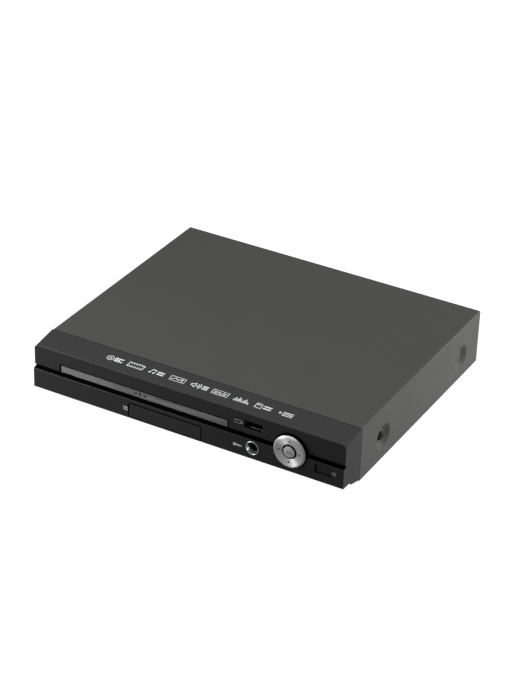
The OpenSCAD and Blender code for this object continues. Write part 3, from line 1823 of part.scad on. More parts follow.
top_cover();
chassis_pan();
feet();
side_screws();
rear_screws();
front_bezel();
display_window();
display_module();
ir_receiver();
dial_ring();
rocker_ring();
play_button();
power_button();
switch_carrier();
tact_switches();
front_board();
mic_jack_sleeve();
mic_jack_body();
usb_shell();
usb_tongue();
front_ribbon();
tray_lip();
disc_tray();
loader_frame();
loader_screws();
loading_motor();
motor_pulley();
drive_belt();
pulley_gear();
drive_gear();
cam_slide();
cradle_frame();
dampers();
traverse_plate();
spindle_motor();
turntable();
disc_grip();
guide_rods();
sled_motor();
lead_screw();
pickup_sled();
objective_lens();
clamp_bridge();
clamper();
main_board();
main_chips();
board_screws();
power_board();
transformer();
capacitors();
heat_sink();
mains_inlet();
inlet_pins();
av_board();
rca_block();
rca_barrels();
rca_inserts();
av_ribbon();
power_harness();
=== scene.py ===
"""Compact disc player with a motor-driven tray: finishes, printed marks, camera and studio.

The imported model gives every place. Lengths are in metres: mm and micron turn sizes into them. Marks
are thin printed shapes, laid on the surface that carries them.
"""
import math

import bmesh
import bpy
import numpy as np
from mathutils import Matrix, Vector


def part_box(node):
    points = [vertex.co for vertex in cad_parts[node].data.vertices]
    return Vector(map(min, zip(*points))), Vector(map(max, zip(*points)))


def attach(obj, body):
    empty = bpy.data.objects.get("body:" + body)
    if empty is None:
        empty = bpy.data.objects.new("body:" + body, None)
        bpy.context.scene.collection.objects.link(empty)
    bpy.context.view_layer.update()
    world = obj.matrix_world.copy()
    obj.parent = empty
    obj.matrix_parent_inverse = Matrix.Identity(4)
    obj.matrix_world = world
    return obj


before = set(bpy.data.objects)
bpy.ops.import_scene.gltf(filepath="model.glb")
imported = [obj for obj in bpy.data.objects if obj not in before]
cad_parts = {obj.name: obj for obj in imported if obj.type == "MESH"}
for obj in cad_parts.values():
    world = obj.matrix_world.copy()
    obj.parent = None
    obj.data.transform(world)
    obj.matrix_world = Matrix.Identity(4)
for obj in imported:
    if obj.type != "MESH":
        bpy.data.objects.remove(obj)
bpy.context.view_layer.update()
mm = 0.001
micron = 0.000001

# ---- the front, where the nodes' boxes don't tell it ----

# the panel's upper face lies behind its lower one, from the top of the groove between them
upper_set = 1.5 * mm
groove_top = 21.6 * mm
# the panel's top falls by 1.1 mm on the 20.5 mm from the seam to the front
top_fall = 1.1 / 20.5
# behind the panel the window has a flange, wider at both ends and at the top
flange_end = 1.5 * mm
flange_top = 0.8 * mm


def middle(node):
    """The middle of a node's box."""
    low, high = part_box(node)
    return (low + high) / 2


# ---- camera and studio ----

# the cover starts just behind the seam with the front panel, and its lower edge is the case's zero
seam_gap = 0.15 * mm
cover_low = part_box("top_cover")[0]
seam_place = Vector((0, cover_low.y - seam_gap, cover_low.z))
camera_azimuth = 28.62
camera_elevation = 30.25
camera_roll = 1.90
camera_distance = 1398.8 * mm
camera_aim = (35.9 * mm, 53.5 * mm)
camera_lens = 115.6


def stand_camera():
    """The camera looks along one line; its aim is given across and up from the seam's middle."""
    a, e, r = (math.radians(v) for v in (camera_azimuth, camera_elevation, camera_roll))
    back = Vector((math.sin(a) * math.cos(e), -math.cos(a) * math.cos(e), math.sin(e)))
    level_right = (-back).cross(Vector((0, 0, 1))).normalized()
    level_up = level_right.cross(-back)
    right = math.cos(r) * level_right + math.sin(r) * level_up
    up = math.cos(r) * level_up - math.sin(r) * level_right
    place = seam_place + right * camera_aim[0] + up * camera_aim[1] + back * camera_distance
    camera = bpy.data.objects.new("camera", bpy.data.cameras.new("camera"))
    bpy.context.scene.collection.objects.link(camera)
    turn = Matrix((right, up, back)).transposed().to_4x4()
    camera.matrix_world = Matrix.Translation(place) @ turn
    camera.data.lens = camera_lens
    camera.data.clip_start = 0.01
    camera.data.clip_end = 50
    bpy.context.scene.camera = camera


def softbox(name, place, aim, width, height, power, mirrored=True):
    """A rectangular lamp that faces its aim. Gloss shows it only where mirrored is true."""
    lamp = bpy.data.lights.new(name, "AREA")
    lamp.shape = "RECTANGLE"
    lamp.size = width
    lamp.size_y = height
    lamp.energy = power
    holder = bpy.data.objects.new(name, lamp)
    bpy.context.scene.collection.objects.link(holder)
    holder.location = place
    holder.visible_camera = False
    holder.visible_glossy = mirrored
    toward = Vector(aim) - Vector(place)
    holder.rotation_mode = "QUATERNION"
    holder.rotation_quaternion = toward.to_track_quat("-Z", "Y")


def light_by_ray(tree, seen, mirrored, spread):
    """A strength for what the camera sees, one for what gloss mirrors and one for diffuse light."""
    path = tree.nodes.new("ShaderNodeLightPath")
    straight = math_node(tree, "MAXIMUM", path.outputs["Is Camera Ray"], path.outputs["Is Transmission Ray"])
    gloss = math_node(tree, "MULTIPLY_ADD", path.outputs["Is Glossy Ray"], mirrored - spread, spread)
    return math_node(tree, "MULTIPLY_ADD", straight, seen - spread, gloss)


def light_studio():
    """Surroundings that are white to the eye and dimmer as light, and four softboxes. The one low at
    the left is near, so its light falls off along the front. The one at the right isn't mirrored, as it
    would draw a white line along the cover's edge."""
    world = bpy.data.worlds.new("studio")
    bpy.context.scene.world = world
    world.use_nodes = True
    tree = world.node_tree
    tree.nodes.clear()
    white = tree.nodes.new("ShaderNodeBackground")
    white.inputs["Color"].default_value = (1, 1, 1, 1)
    tree.links.new(light_by_ray(tree, 1.0, 0.27, 0.08), white.inputs["Strength"])
    out = tree.nodes.new("ShaderNodeOutputWorld")
    tree.links.new(white.outputs[0], out.inputs["Surface"])
    player = (0, 0, 0.02)
    softbox("overhead", (-0.05, 0.15, 1.1), player, 0.8, 0.5, 8.5)
    softbox("right_side", (0.75, 0.62, 0.14), player, 0.6, 0.24, 34, mirrored=False)
    softbox("front_left", (-0.7, -1.3, 0.9), player, 0.5, 0.5, 1.2)
    softbox("near_left", (-0.27, -0.28, 0.16), (0, -0.1, 0.02), 0.16, 0.16, 1.15)


def lay_floor():
    """A white floor that keeps the player's shadow. Only diffuse rays see its darker colour."""
    half = 4.0
    mesh = bpy.data.meshes.new("floor")
    corners = [(-half, -half, 0), (half, -half, 0), (half, half, 0), (-half, half, 0)]
    mesh.from_pydata(corners, [], [(0, 1, 2, 3)])
    floor = bpy.data.objects.new("floor", mesh)
    bpy.context.scene.collection.objects.link(floor)
    material = bpy.data.materials.new("studio_floor")
    material.use_nodes = True
    tree = material.node_tree
    tree.nodes.clear()
    diffuse = tree.nodes.new("ShaderNodeBsdfDiffuse")
    diffuse.inputs["Color"].default_value = (0.12, 0.12, 0.12, 1)
    glow = tree.nodes.new("ShaderNodeEmission")
    glow.inputs["Color"].default_value = (1, 1, 1, 1)
    tree.links.new(light_by_ray(tree, 0.97, 0.06, 0.0), glow.inputs["Strength"])
    both = tree.nodes.new("ShaderNodeAddShader")
    out = tree.nodes.new("ShaderNodeOutputMaterial")
    tree.links.new(diffuse.outputs[0], both.inputs[0])
    tree.links.new(glow.outputs[0], both.inputs[1])
    tree.links.new(both.outputs[0], out.inputs["Surface"])
    mesh.materials.append(material)


# ---- shader parts ----


def math_node(tree, operation, *values):
    """A Math node; each value is a number or another node's output. Its output is returned."""
    node = tree.nodes.new("ShaderNodeMath")
    node.operation = operation
    for socket, value in zip(node.inputs, values):
        if isinstance(value, (int, float)):
            socket.default_value = value
        else:
            tree.links.new(value, socket)
    return node.outputs[0]


def vector_node(tree, operation, *vectors):
    """A Vector Math node fed by other nodes' outputs. The node itself is returned."""
    node = tree.nodes.new("ShaderNodeVectorMath")
    node.operation = operation
    for socket, vector in zip(node.inputs, vectors):
        tree.links.new(vector, socket)
    return node


def new_group(name, inputs, outputs):
    """An empty shader node group with number outputs. Inputs are given as name: default, where a
    default of three numbers makes a vector."""
    group = bpy.data.node_groups.new(name, "ShaderNodeTree")
    for label, default in inputs.items():
        kind = "NodeSocketVector" if isinstance(default, tuple) else "NodeSocketFloat"
        socket = group.interface.new_socket(label, in_out="INPUT", socket_type=kind)
        socket.default_value = default
    for label in outputs:
        group.interface.new_socket(label, in_out="OUTPUT", socket_type="NodeSocketFloat")
    start = group.nodes.new("NodeGroupInput")
    end = group.nodes.new("NodeGroupOutput")
    return group, start.outputs, end.inputs


def noise(tree, vector, scale, detail, roughness=0.5):
    """A Noise texture's value; scale is a number or an output."""
    node = tree.nodes.new("ShaderNodeTexNoise")
    node.inputs["Detail"].default_value = detail
    node.inputs["Roughness"].default_value = roughness
    tree.links.new(vector, node.inputs["Vector"])
    if isinstance(scale, (int, float)):
        node.inputs["Scale"].default_value = scale
    else:
        tree.links.new(scale, node.inputs["Scale"])
    return node.outputs[0]


def object_place(tree):
    """The place on the piece, in metres."""
    return tree.nodes.new("ShaderNodeTexCoord").outputs["Object"]


def clumped_noise(group, place, given, detail, coarser):
    """Noise of the given Size, mixed with noise at a share, coarser, of its scale. Clumps is how much
    of the second one there is."""
    scale = math_node(group, "DIVIDE", 1.0, given["Size"])
    fine = noise(group, place, scale, detail)
    coarse = noise(group, place, math_node(group, "MULTIPLY", scale, coarser), 2)
    lifted = math_node(group, "MULTIPLY", coarse, given["Clumps"])
    kept = math_node(group, "MULTIPLY", fine, math_node(group, "SUBTRACT", 1.0, given["Clumps"]))
    return math_node(group, "ADD", lifted, kept)


def make_fine_grain():
    """Moulded or sprayed grain. Size is a grain's width; Value and Height run from 0 to 1."""
    group, given, gives = new_group("fine_grain", {"Size": 0.4 * mm, "Clumps": 0.35}, ["Value", "Height"])
    both = clumped_noise(group, object_place(group), given, 2, 0.13)
    group.links.new(both, gives["Value"])
    group.links.new(both, gives["Height"])
    return group


def make_brushed(axis):
    """Straight brushing along one axis: noise drawn out 60 times along it. Contrast spreads Value
    about its middle, 0.5."""
    group, given, gives = new_group("brushed_" + axis, {"Size": 0.3 * mm, "Clumps": 0.3, "Contrast": 1.0},
                                    ["Value", "Height"])
    stretch = group.nodes.new("ShaderNodeMapping")
    stretch.inputs["Scale"].default_value = [1 / 60 if a == axis else 1 for a in "xyz"]
    group.links.new(object_place(group), stretch.inputs["Vector"])
    both = clumped_noise(group, stretch.outputs[0], given, 3, 0.2)
    spread = math_node(group, "MULTIPLY", math_node(group, "SUBTRACT", both, 0.5), given["Contrast"])
    group.links.new(math_node(group, "ADD", spread, 0.5), gives["Value"])
    group.links.new(both, gives["Height"])
    return group


def make_handling():
    """Soft cloudy patches where hands and cloths have been, from 0 to 1."""
    group, given, gives = new_group("handling", {"Size": 30 * mm}, ["Mask"])
    place = object_place(group)
    cloud = noise(group, place, math_node(group, "DIVIDE", 1.0, given["Size"]), 4, 0.6)
    spread = group.nodes.new("ShaderNodeMapRange")
    spread.interpolation_type = "SMOOTHSTEP"
    spread.inputs["From Min"].default_value = 0.35
    spread.inputs["From Max"].default_value = 0.68
    group.links.new(cloud, spread.inputs["Value"])
    group.links.new(spread.outputs[0], gives["Mask"])
    return group


def make_turned():
    """Rings left by a lathe. Centre is on their axis, and Keep is 0 along it and 1 across it."""
    group, given, gives = new_group("turned", {"Centre": (0, 0, 0), "Keep": (1, 1, 1), "Size": 0.3 * mm},
                                    ["Value", "Height"])
    away = vector_node(group, "SUBTRACT", object_place(group), given["Centre"]).outputs["Vector"]
    flat = vector_node(group, "MULTIPLY", away, given["Keep"]).outputs["Vector"]
    radius = vector_node(group, "LENGTH", flat).outputs["Value"]
    rings = group.nodes.new("ShaderNodeTexNoise")
    rings.noise_dimensions = "1D"
    rings.inputs["Detail"].default_value = 3
    rings.inputs["Scale"].default_value = 1
    group.links.new(math_node(group, "DIVIDE", radius, given["Size"]), rings.inputs["W"])
    group.links.new(rings.outputs[0], gives["Value"])
    group.links.new(rings.outputs[0], gives["Height"])
    return group


fine_grain = make_fine_grain()
brushed_x = make_brushed("x")
brushed_y = make_brushed("y")
brushed_z = make_brushed("z")
handling = make_handling()
turned = make_turned()


def surface(name, colour, roughness, texture, size, depth, tone=0.08, smudge=0.05, **plain):
    """A finish: a colour that the texture and handling vary, a roughness that handling varies unless
    smudge is 0, and the texture's height as a bump. The texture's size is in millimetres and the bump's
    depth in micrometres. plain gives more of the shader's own values by name."""
    material = bpy.data.materials.new(name)
    material.use_nodes = True
    tree = material.node_tree
    shader = tree.nodes["Principled BSDF"]
    for label, value in plain.items():
        shader.inputs[label.replace("_", " ").title().replace("Ior", "IOR")].default_value = value
    pattern = tree.nodes.new("ShaderNodeGroup")
    pattern.name = "texture"
    pattern.node_tree = texture
    pattern.inputs["Size"].default_value = size * mm
    hands = tree.nodes.new("ShaderNodeGroup")
    hands.node_tree = handling
    shade = tree.nodes.new("ShaderNodeMix")
    shade.name = "shade"
    shade.data_type = "RGBA"
    low = [c * (1 - tone) for c in colour]
    high = [c * (1 + tone) for c in colour]
    shade.inputs["A"].default_value = (*low, 1)
    shade.inputs["B"].default_value = (*high, 1)
    share = math_node(tree, "MULTIPLY_ADD", hands.outputs["Mask"], 0.25, pattern.outputs["Value"])
    tree.links.new(share, shade.inputs["Factor"])
    tree.links.new(shade.outputs["Result"], shader.inputs["Base Color"])
    if smudge:
        rough = math_node(tree, "MULTIPLY_ADD", hands.outputs["Mask"], -smudge, roughness + smudge / 2)
        tree.links.new(rough, shader.inputs["Roughness"])
    else:
        shader.inputs["Roughness"].default_value = roughness
    bump = tree.nodes.new("ShaderNodeBump")
    bump.inputs["Strength"].default_value = 1.0
    bump.inputs["Distance"].default_value = depth * micron
    tree.links.new(pattern.outputs["Height"], bump.inputs["Height"])
    tree.links.new(bump.outputs[0], shader.inputs["Normal"])
    return material


def dress(material, *nodes):
    """Gives the material to CAD nodes."""
    for node in nodes:
        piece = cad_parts[node]
        for place in piece.material_slots:
            place.material = material
        if not piece.material_slots:
            piece.data.materials.append(material)


# ---- finishes ----


def coordinates(tree):
    """The place on the piece, as three outputs named X, Y and Z."""
    split = tree.nodes.new("ShaderNodeSeparateXYZ")
    tree.links.new(object_place(tree), split.inputs[0])
    return split.outputs


def paint_flat_shade(material, mask):
    """Paints shade: takes the colour and the shine away where the mask is 1."""
    tree = material.node_tree
    shader = tree.nodes["Principled BSDF"]
    shade = tree.nodes.new("ShaderNodeMix")
    shade.data_type = "RGBA"
    shade.inputs["B"].default_value = (0.002, 0.002, 0.002, 1)
    tree.links.new(shader.inputs["Base Color"].links[0].from_socket, shade.inputs["A"])
    tree.links.new(mask, shade.inputs["Factor"])
    tree.links.new(shade.outputs["Result"], shader.inputs["Base Color"])
    gloss = shader.inputs["Specular IOR Level"]
    tree.links.new(math_node(tree, "MULTIPLY_ADD", mask, -gloss.default_value, gloss.default_value), gloss)


def paint_shade_past_edge(material, axis, operation, edge):
    """Painted shade: flat black on one side of an edge across the named axis."""
    tree = material.node_tree
    paint_flat_shade(material, math_node(tree, operation, coordinates(tree)[axis], edge))


def paint_recess_shade(material):
    """Painted shade: flat black wherever the panel lies behind its two front faces, in the groove, the tray's
    slot and the holes of the controls. The power button's pocket and all that is lower than the window keep
    the panel's colour, and so do the panel's ends and its top."""
    low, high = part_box("front_bezel")
    button_low, button_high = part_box("power_button")
    window_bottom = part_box("display_window")[0].z
    black_from = low.y + 0.2 * mm
    side_limit = high.x - 0.1 * mm
    top_limit = high.z - 3 * mm
    pocket_left = button_low.x - 1 * mm
    pocket_top = button_high.z + 0.5 * mm
    tree = material.node_tree
    x, y, z = coordinates(tree)
    upper = math_node(tree, "GREATER_THAN", z, low.z + groove_top)
    behind = math_node(tree, "GREATER_THAN", y, math_node(tree, "MULTIPLY_ADD", upper, upper_set, black_from))
    within = math_node(tree, "LESS_THAN", math_node(tree, "ABSOLUTE", x), side_limit)
    at_pocket = math_node(tree, "GREATER_THAN", x, pocket_left)
    bottom = math_node(tree, "MULTIPLY_ADD", at_pocket, pocket_top - window_bottom, window_bottom)
    above = math_node(tree, "GREATER_THAN", z, bottom)
    below = math_node(tree, "LESS_THAN", z, top_limit)
    paint_flat_shade(material, math_node(tree, "MULTIPLY", math_node(tree, "MULTIPLY", behind, within),
                                   math_node(tree, "MULTIPLY", above, below)))


def paint_window_gap_shade(material, border):
    """Painted shade for the dark gap round the window: a flat black border at the window's ends and top, and
    flat black sides. Behind the panel the window has a flange, which its box takes in."""
    low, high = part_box("display_window")
    half_width = (high.x - low.x) / 2 - flange_end
    top_edge = high.z - flange_top
    side_wall = low.y + 0.1 * mm
    tree = material.node_tree
    x, y, z = coordinates(tree)
    away = math_node(tree, "ABSOLUTE", math_node(tree, "SUBTRACT", x, (low.x + high.x) / 2))
    ends = math_node(tree, "GREATER_THAN", away, half_width - border)
    top = math_node(tree, "GREATER_THAN", z, top_edge - border)
    sides = math_node(tree, "GREATER_THAN", y, side_wall)
    paint_flat_shade(material, math_node(tree, "MAXIMUM", sides, math_node(tree, "MAXIMUM", ends, top)))


def paint_case():
    """The cover, the panel with its window, and all bare sheet metal, rubber and black screws. The cover's
    front edge is painted black, as shade in the seam with the panel."""
    satin = surface("cover_paint", (0.04, 0.04, 0.0387), 0.42, fine_grain, 0.45, 12, 0.06,
                    specular_ior_level=0.5)
    # painted shade: the cover's front edge is black in the seam with the panel
    paint_shade_past_edge(satin, "Y", "LESS_THAN", cover_low.y + 0.1 * mm)
    dress(satin, "top_cover")
    panel = surface("panel_plastic", (0.022, 0.0222, 0.023), 0.44, fine_grain, 0.3, 8, 0.06,
                    specular_ior_level=0.27)
    # painted shade in the groove, the tray's slot and the holes of the controls
    paint_recess_shade(panel)
    dress(panel, "front_bezel")
    smoked = surface("window_plastic", (0.026, 0.0262, 0.027), 0.28, fine_grain, 0.6, 2, 0.04,
                     smudge=0.0, specular_ior_level=0.35)
    # painted shade in the dark gap round the window
    paint_window_gap_shade(smoked, 0.4 * mm)
    dress(smoked, "display_window")
    zinc = surface("zinc_sheet", (0.5, 0.51, 0.52), 0.38, brushed_x, 0.6, 4, 0.12, metallic=0.9)
    dress(zinc, "chassis_pan", "traverse_plate", "clamp_bridge")
    soft = surface("foot_rubber", (0.018, 0.018, 0.018), 0.75, fine_grain, 0.5, 30, 0.2)
    dress(soft, "feet", "drive_belt", "disc_grip", "dampers")
    oxide = surface("black_screw", (0.02, 0.02, 0.021), 0.35, fine_grain, 0.3, 10, 0.2, metallic=0.4)
    dress(oxide, "side_screws", "rear_screws")


def paint_dial():
    """Turned silver that shines across the lathe's rings. The wall behind the rim is painted black, as shade
    round the dial.
    """
    silver = surface("dial_silver", (0.8, 0.805, 0.795), 0.62, turned, 0.3, 6, 0.14, metallic=0.8,
                     anisotropic=0.78, anisotropic_rotation=0.25)
    nodes = silver.node_tree.nodes
    around = nodes.new("ShaderNodeTangent")
    around.direction_type = "RADIAL"
    around.axis = "Y"
    silver.node_tree.links.new(around.outputs[0], nodes["Principled BSDF"].inputs["Tangent"])
    rings = nodes["texture"].inputs
    rings["Centre"].default_value = middle("dial_ring")
    rings["Keep"].default_value = (1, 0, 1)
    # painted shade on the wall behind the dial's rim
    paint_shade_past_edge(silver, "Y", "GREATER_THAN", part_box("dial_ring")[0].y + 0.95 * mm)
    dress(silver, "dial_ring")


def paint_controls():
    """The buttons, the port and the jacks, and the metal parts of the drive. The play button's wall and the
    inside of the port are painted black, as shade in the gap round the button and deep in the port."""
    satin_silver = surface("button_silver", (0.62, 0.625, 0.62), 0.5, fine_grain, 0.3, 6, 0.1, metallic=0.5)
    # painted shade on the play button's wall, in the gap round it
    paint_shade_past_edge(satin_silver, "Y", "GREATER_THAN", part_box("play_button")[0].y + 1 * mm)
    dress(satin_silver, "play_button")
    satin_black = surface("black_plastic", (0.02, 0.02, 0.021), 0.4, fine_grain, 0.3, 6, 0.1,
                          specular_ior_level=0.4)
    dress(satin_black, "rocker_ring", "mic_jack_body", "mains_inlet", "rca_block")
    tongue = surface("tongue_grey", (0.1, 0.1, 0.1), 0.5, fine_grain, 0.3, 6, 0.1)
    dress(tongue, "usb_tongue")
    gloss_black = surface("button_black", (0.012, 0.012, 0.0125), 0.22, fine_grain, 0.5, 3, 0.1,
                          specular_ior_level=0.4)
    dress(gloss_black, "power_button")
    nickel = surface("port_nickel", (0.5, 0.5, 0.495), 0.45, brushed_y, 0.3, 4, 0.06, metallic=0.3)
    # painted shade inside the port, behind its front edge
    paint_shade_past_edge(nickel, "Y", "GREATER_THAN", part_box("usb_shell")[0].y + 0.2 * mm)
    dress(nickel, "usb_shell")
    bright = surface("jack_chrome", (0.62, 0.63, 0.64), 0.3, fine_grain, 0.8, 4, 0.05, metallic=1.0)
    dress(bright, "mic_jack_sleeve", "rca_barrels")
    stamped = surface("stamped_steel", (0.45, 0.46, 0.47), 0.3, brushed_y, 0.3, 4, 0.1, metallic=1.0)
    dress(stamped, "guide_rods", "lead_screw", "spindle_motor", "sled_motor", "loading_motor")


def paint_tray():
    """The tray, and its lip with strong brushing and a black upper edge, as if in the slot's shade."""
    grey = surface("lip_grey", (0.15, 0.151, 0.153), 0.36, brushed_x, 1.1, 30, 0.75,
                   specular_ior_level=0.4, coat_weight=0.2)
    grey.node_tree.nodes["texture"].inputs["Contrast"].default_value = 2.2
    paint_shade_past_edge(grey, "Z", "GREATER_THAN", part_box("tray_lip")[1].z - 0.45 * mm)
    dress(grey, "tray_lip")
    dark = surface("tray_plastic", (0.03, 0.031, 0.033), 0.5, fine_grain, 0.5, 20, 0.12)
    dress(dark, "disc_tray")


def paint_loader():
    filled = surface("frame_plastic", (0.06, 0.062, 0.066), 0.55, fine_grain, 0.6, 20, 0.15)
    dress(filled, "loader_frame")
    waxy = surface("acetal", (0.72, 0.7, 0.62), 0.4, fine_grain, 0.8, 6, 0.05)
    dress(waxy, "motor_pulley", "pulley_gear", "drive_gear", "cam_slide", "cradle_frame")
    white = surface("white_plastic", (0.74, 0.74, 0.7), 0.42, fine_grain, 0.6, 6, 0.04)
    dress(white, "turntable", "clamper", "switch_carrier", "display_module")
    alloy = surface("cast_alloy", (0.4, 0.41, 0.42), 0.48, fine_grain, 0.8, 30, 0.15, metallic=0.9)
    dress(alloy, "pickup_sled")
    lens = surface("lens_coating", (0.2, 0.27, 0.55), 0.08, fine_grain, 1, 1, 0.05, coat_weight=0.8)
    dress(lens, "objective_lens")
    zinc_screw = surface("zinc_screw", (0.5, 0.5, 0.5), 0.3, fine_grain, 0.3, 8, 0.15, metallic=1.0)
    dress(zinc_screw, "loader_screws", "board_screws")


def paint_boards():
    green = surface("circuit_board", (0.03, 0.14, 0.05), 0.35, fine_grain, 1.2, 30, 0.3)
    dress(green, "front_board", "main_board", "av_board")
    laminate = surface("power_laminate", (0.34, 0.22, 0.1), 0.5, fine_grain, 0.8, 10, 0.1)
    dress(laminate, "power_board")
    epoxy = surface("chip_black", (0.02, 0.02, 0.02), 0.5, fine_grain, 0.3, 10, 0.15)
    dress(epoxy, "main_chips", "tact_switches", "ir_receiver")
    tape = surface("transformer_tape", (0.68, 0.54, 0.1), 0.3, fine_grain, 2, 10, 0.08)
    dress(tape, "transformer")
    sleeve = surface("capacitor_sleeve", (0.025, 0.03, 0.09), 0.25, fine_grain, 1, 4, 0.1)
    dress(sleeve, "capacitors")
    finned = surface("finned_aluminium", (0.6, 0.61, 0.62), 0.3, brushed_z, 0.3, 8, 0.1, metallic=1.0)
    dress(finned, "heat_sink")
    gold = surface("pin_brass", (0.65, 0.5, 0.22), 0.25, brushed_y, 0.2, 4, 0.1, metallic=1.0)
    dress(gold, "inlet_pins")
    flat_cable = surface("flat_cable", (0.6, 0.58, 0.52), 0.4, fine_grain, 0.8, 6, 0.06)
    dress(flat_cable, "front_ribbon", "av_ribbon")
    wire = surface("red_wire", (0.42, 0.04, 0.03), 0.35, fine_grain, 0.8, 6, 0.08)
    dress(wire, "power_harness")


def paint_jack_inserts():
    """The output jacks' inserts: yellow, white, red and orange, told apart by their place along x."""
    colours = [(0.7, 0.5, 0.03), (0.75, 0.74, 0.7), (0.6, 0.03, 0.025), (0.72, 0.22, 0.02)]
    insert = surface("jack_colours", colours[0], 0.35, fine_grain, 0.6, 6, 0.06)
    tree = insert.node_tree
    low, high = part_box("rca_inserts")
    along = tree.nodes.new("ShaderNodeMapRange")
    along.inputs["From Min"].default_value = low.x
    along.inputs["From Max"].default_value = high.x
    tree.links.new(coordinates(tree)["X"], along.inputs["Value"])
    ramp = tree.nodes.new("ShaderNodeValToRGB")
    ramp.color_ramp.interpolation = "CONSTANT"
    marks = ramp.color_ramp.elements
    for k, colour in enumerate(colours):
        mark = marks[k] if k < len(marks) else marks.new(k / len(colours))
        mark.position = k / len(colours)
        mark.color = (*colour, 1)
    tree.links.new(along.outputs[0], ramp.inputs["Fac"])
    for side in "AB":
        tree.links.new(ramp.outputs["Color"], tree.nodes["shade"].inputs[side])
    dress(insert, "rca_inserts")


# ---- printed marks ----

# how far a print stands over its surface
print_rise = 0.04 * mm


def bar_along(path, width, closed=False):
    """A rectangular bar carried along a flat path. Each path point is moved half the width to
    both sides along the mean normal of its two stretches, once at level 0 and once at level 1."""
    path = np.asarray(path, float)
    if closed:
        before = path - np.roll(path, 1, 0)
        after = np.roll(path, -1, 0) - path
    else:
        steps = np.diff(path, axis=0)
        before = np.vstack([steps[:1], steps])
        after = np.vstack([steps, steps[-1:]])
    before = before / np.linalg.norm(before, axis=1)[:, None]
    after = after / np.linalg.norm(after, axis=1)[:, None]
    mean = before + after
    mean = mean / np.linalg.norm(mean, axis=1)[:, None]
    normal = np.column_stack([-mean[:, 1], mean[:, 0]])
    stretch = 1 / np.clip((mean * after).sum(1), 0.35, 1)
    side = normal * (stretch * width / 2)[:, None]
    count = len(path)
    corners = [np.column_stack([path + s * side, np.full(count, h)])
               for s, h in ((-1, 0), (1, 0), (1, 1), (-1, 1))]
    points = np.stack(corners, 1).reshape(-1, 3)
    rows = np.arange(count if closed else count - 1)[:, None]
    cols = np.arange(4)[None, :]
    next_row = (rows + 1) % count
    next_col = (cols + 1) % 4
    grid = np.stack(np.broadcast_arrays(rows * 4 + cols, next_row * 4 + cols, next_row * 4 + next_col,
                                        rows * 4 + next_col), -1)
    faces = grid.reshape(-1, 4).tolist()
    if not closed:
        last = 4 * (count - 1)
        faces += [[0, 1, 2, 3], [last + 3, last + 2, last + 1, last]]
    return points, faces


def plate(outline):
    """A flat plate: the outline at level 0 and at level 1, joined by walls, closed on both sides."""
    outline = np.asarray(outline, float)
    count = len(outline)
    points = np.vstack([np.column_stack([outline, np.full(count, h)]) for h in (0, 1)])
    this = np.arange(count)
    after = (this + 1) % count
    walls = np.column_stack([this, after, after + count, this + count]).tolist()
    return points, walls + [this[::-1].tolist(), (this + count).tolist()]


def arc(x, y, radius, start, end, count=24):
    """Points on a circle from the start angle to the end angle, in degrees."""
    angles = np.radians(np.linspace(start, end, count))
    return np.column_stack([x + radius * np.cos(angles), y + radius * np.sin(angles)])


def ring(x, y, radius, width, count=40):
    """A closed round line."""
    return bar_along(arc(x, y, radius, 0, 360 * (count - 1) / count, count), width, True)


def spot(x, y, radius, count=24):
    """A filled circle."""
    return plate(arc(x, y, radius, 0, 360 * (count - 1) / count, count))


def box_line(x, y, width, height, line, cut=0.0):
    """A rectangle drawn as a line, with its upper right corner cut off by cut."""
    a, b = width / 2, height / 2
    corners = [(x - a, y - b), (x + a, y - b), (x + a, y + b - cut), (x + a - cut, y + b), (x - a, y + b)]
    if cut == 0:
        corners.pop(3)
    return bar_along(corners, line, True)


def block_mark(x, y, width, height):
    """A filled rectangle."""
    a, b = width / 2, height / 2
    return plate([(x - a, y - b), (x + a, y - b), (x + a, y + b), (x - a, y + b)])


def wedge(x, y, size, angle):
    """A filled triangle that points along the angle."""
    return plate(arc(x, y, size, angle, angle + 240, 3))


# a sign's measures are shares of its size or width


def power_sign(size):
    """An open ring with a bar at its top."""
    return [bar_along(arc(0, 0, size / 2, 125, 415, 30), size * 0.13),
            bar_along([(0, size * 0.08), (0, size * 0.62)], size * 0.13)]


def play_pause_sign(size):
    return [wedge(-size * 0.28, 0, size * 0.32, 0), block_mark(size * 0.2, 0, size * 0.1, size * 0.54),
            block_mark(size * 0.42, 0, size * 0.1, size * 0.54)]


def skip_sign(size, way):
    """Two wedges and a bar, pointing right for way 1 and left for way -1."""
    turn = 0 if way > 0 else 180
    return [wedge(-way * size * 0.3, 0, size * 0.27, turn), wedge(way * size * 0.1, 0, size * 0.27, turn),
            block_mark(way * size * 0.4, 0, size * 0.09, size * 0.48)]


def eject_sign(size):
    return [wedge(0, size * 0.1, size * 0.36, 90), block_mark(0, -size * 0.26, size * 0.62, size * 0.12)]


def stop_sign(size):
    return [block_mark(0, 0, size * 0.5, size * 0.5)]


def plug_sign(width):
    """A memory stick seen from above: body, cap end and two contacts."""
    h = width * 0.36
    return [box_line(-width * 0.12, 0, width * 0.62, h, width * 0.055),
            box_line(width * 0.32, 0, width * 0.26, h * 0.66, width * 0.05),
            block_mark(width * 0.33, h * 0.14, width * 0.07, h * 0.12),
            block_mark(width * 0.33, -h * 0.14, width * 0.07, h * 0.12)]


def microphone_sign(width):
    """A hand-held microphone that lies on its side: head, collar, handle and its cord's first wave."""
    h = width * 0.4
    handle = [(-width * 0.12, h * 0.26), (-width * 0.12, -h * 0.26), (width * 0.3, -h * 0.15),
              (width * 0.3, h * 0.15)]
    wave = [(width * (0.32 + 0.04 * k), h * 0.16 * math.sin(k * 1.57)) for k in range(6)]
    return [spot(-width * 0.32, 0, h * 0.46), block_mark(-width * 0.155, 0, width * 0.035, h * 0.66),
            plate(handle), bar_along(wave, width * 0.05)]


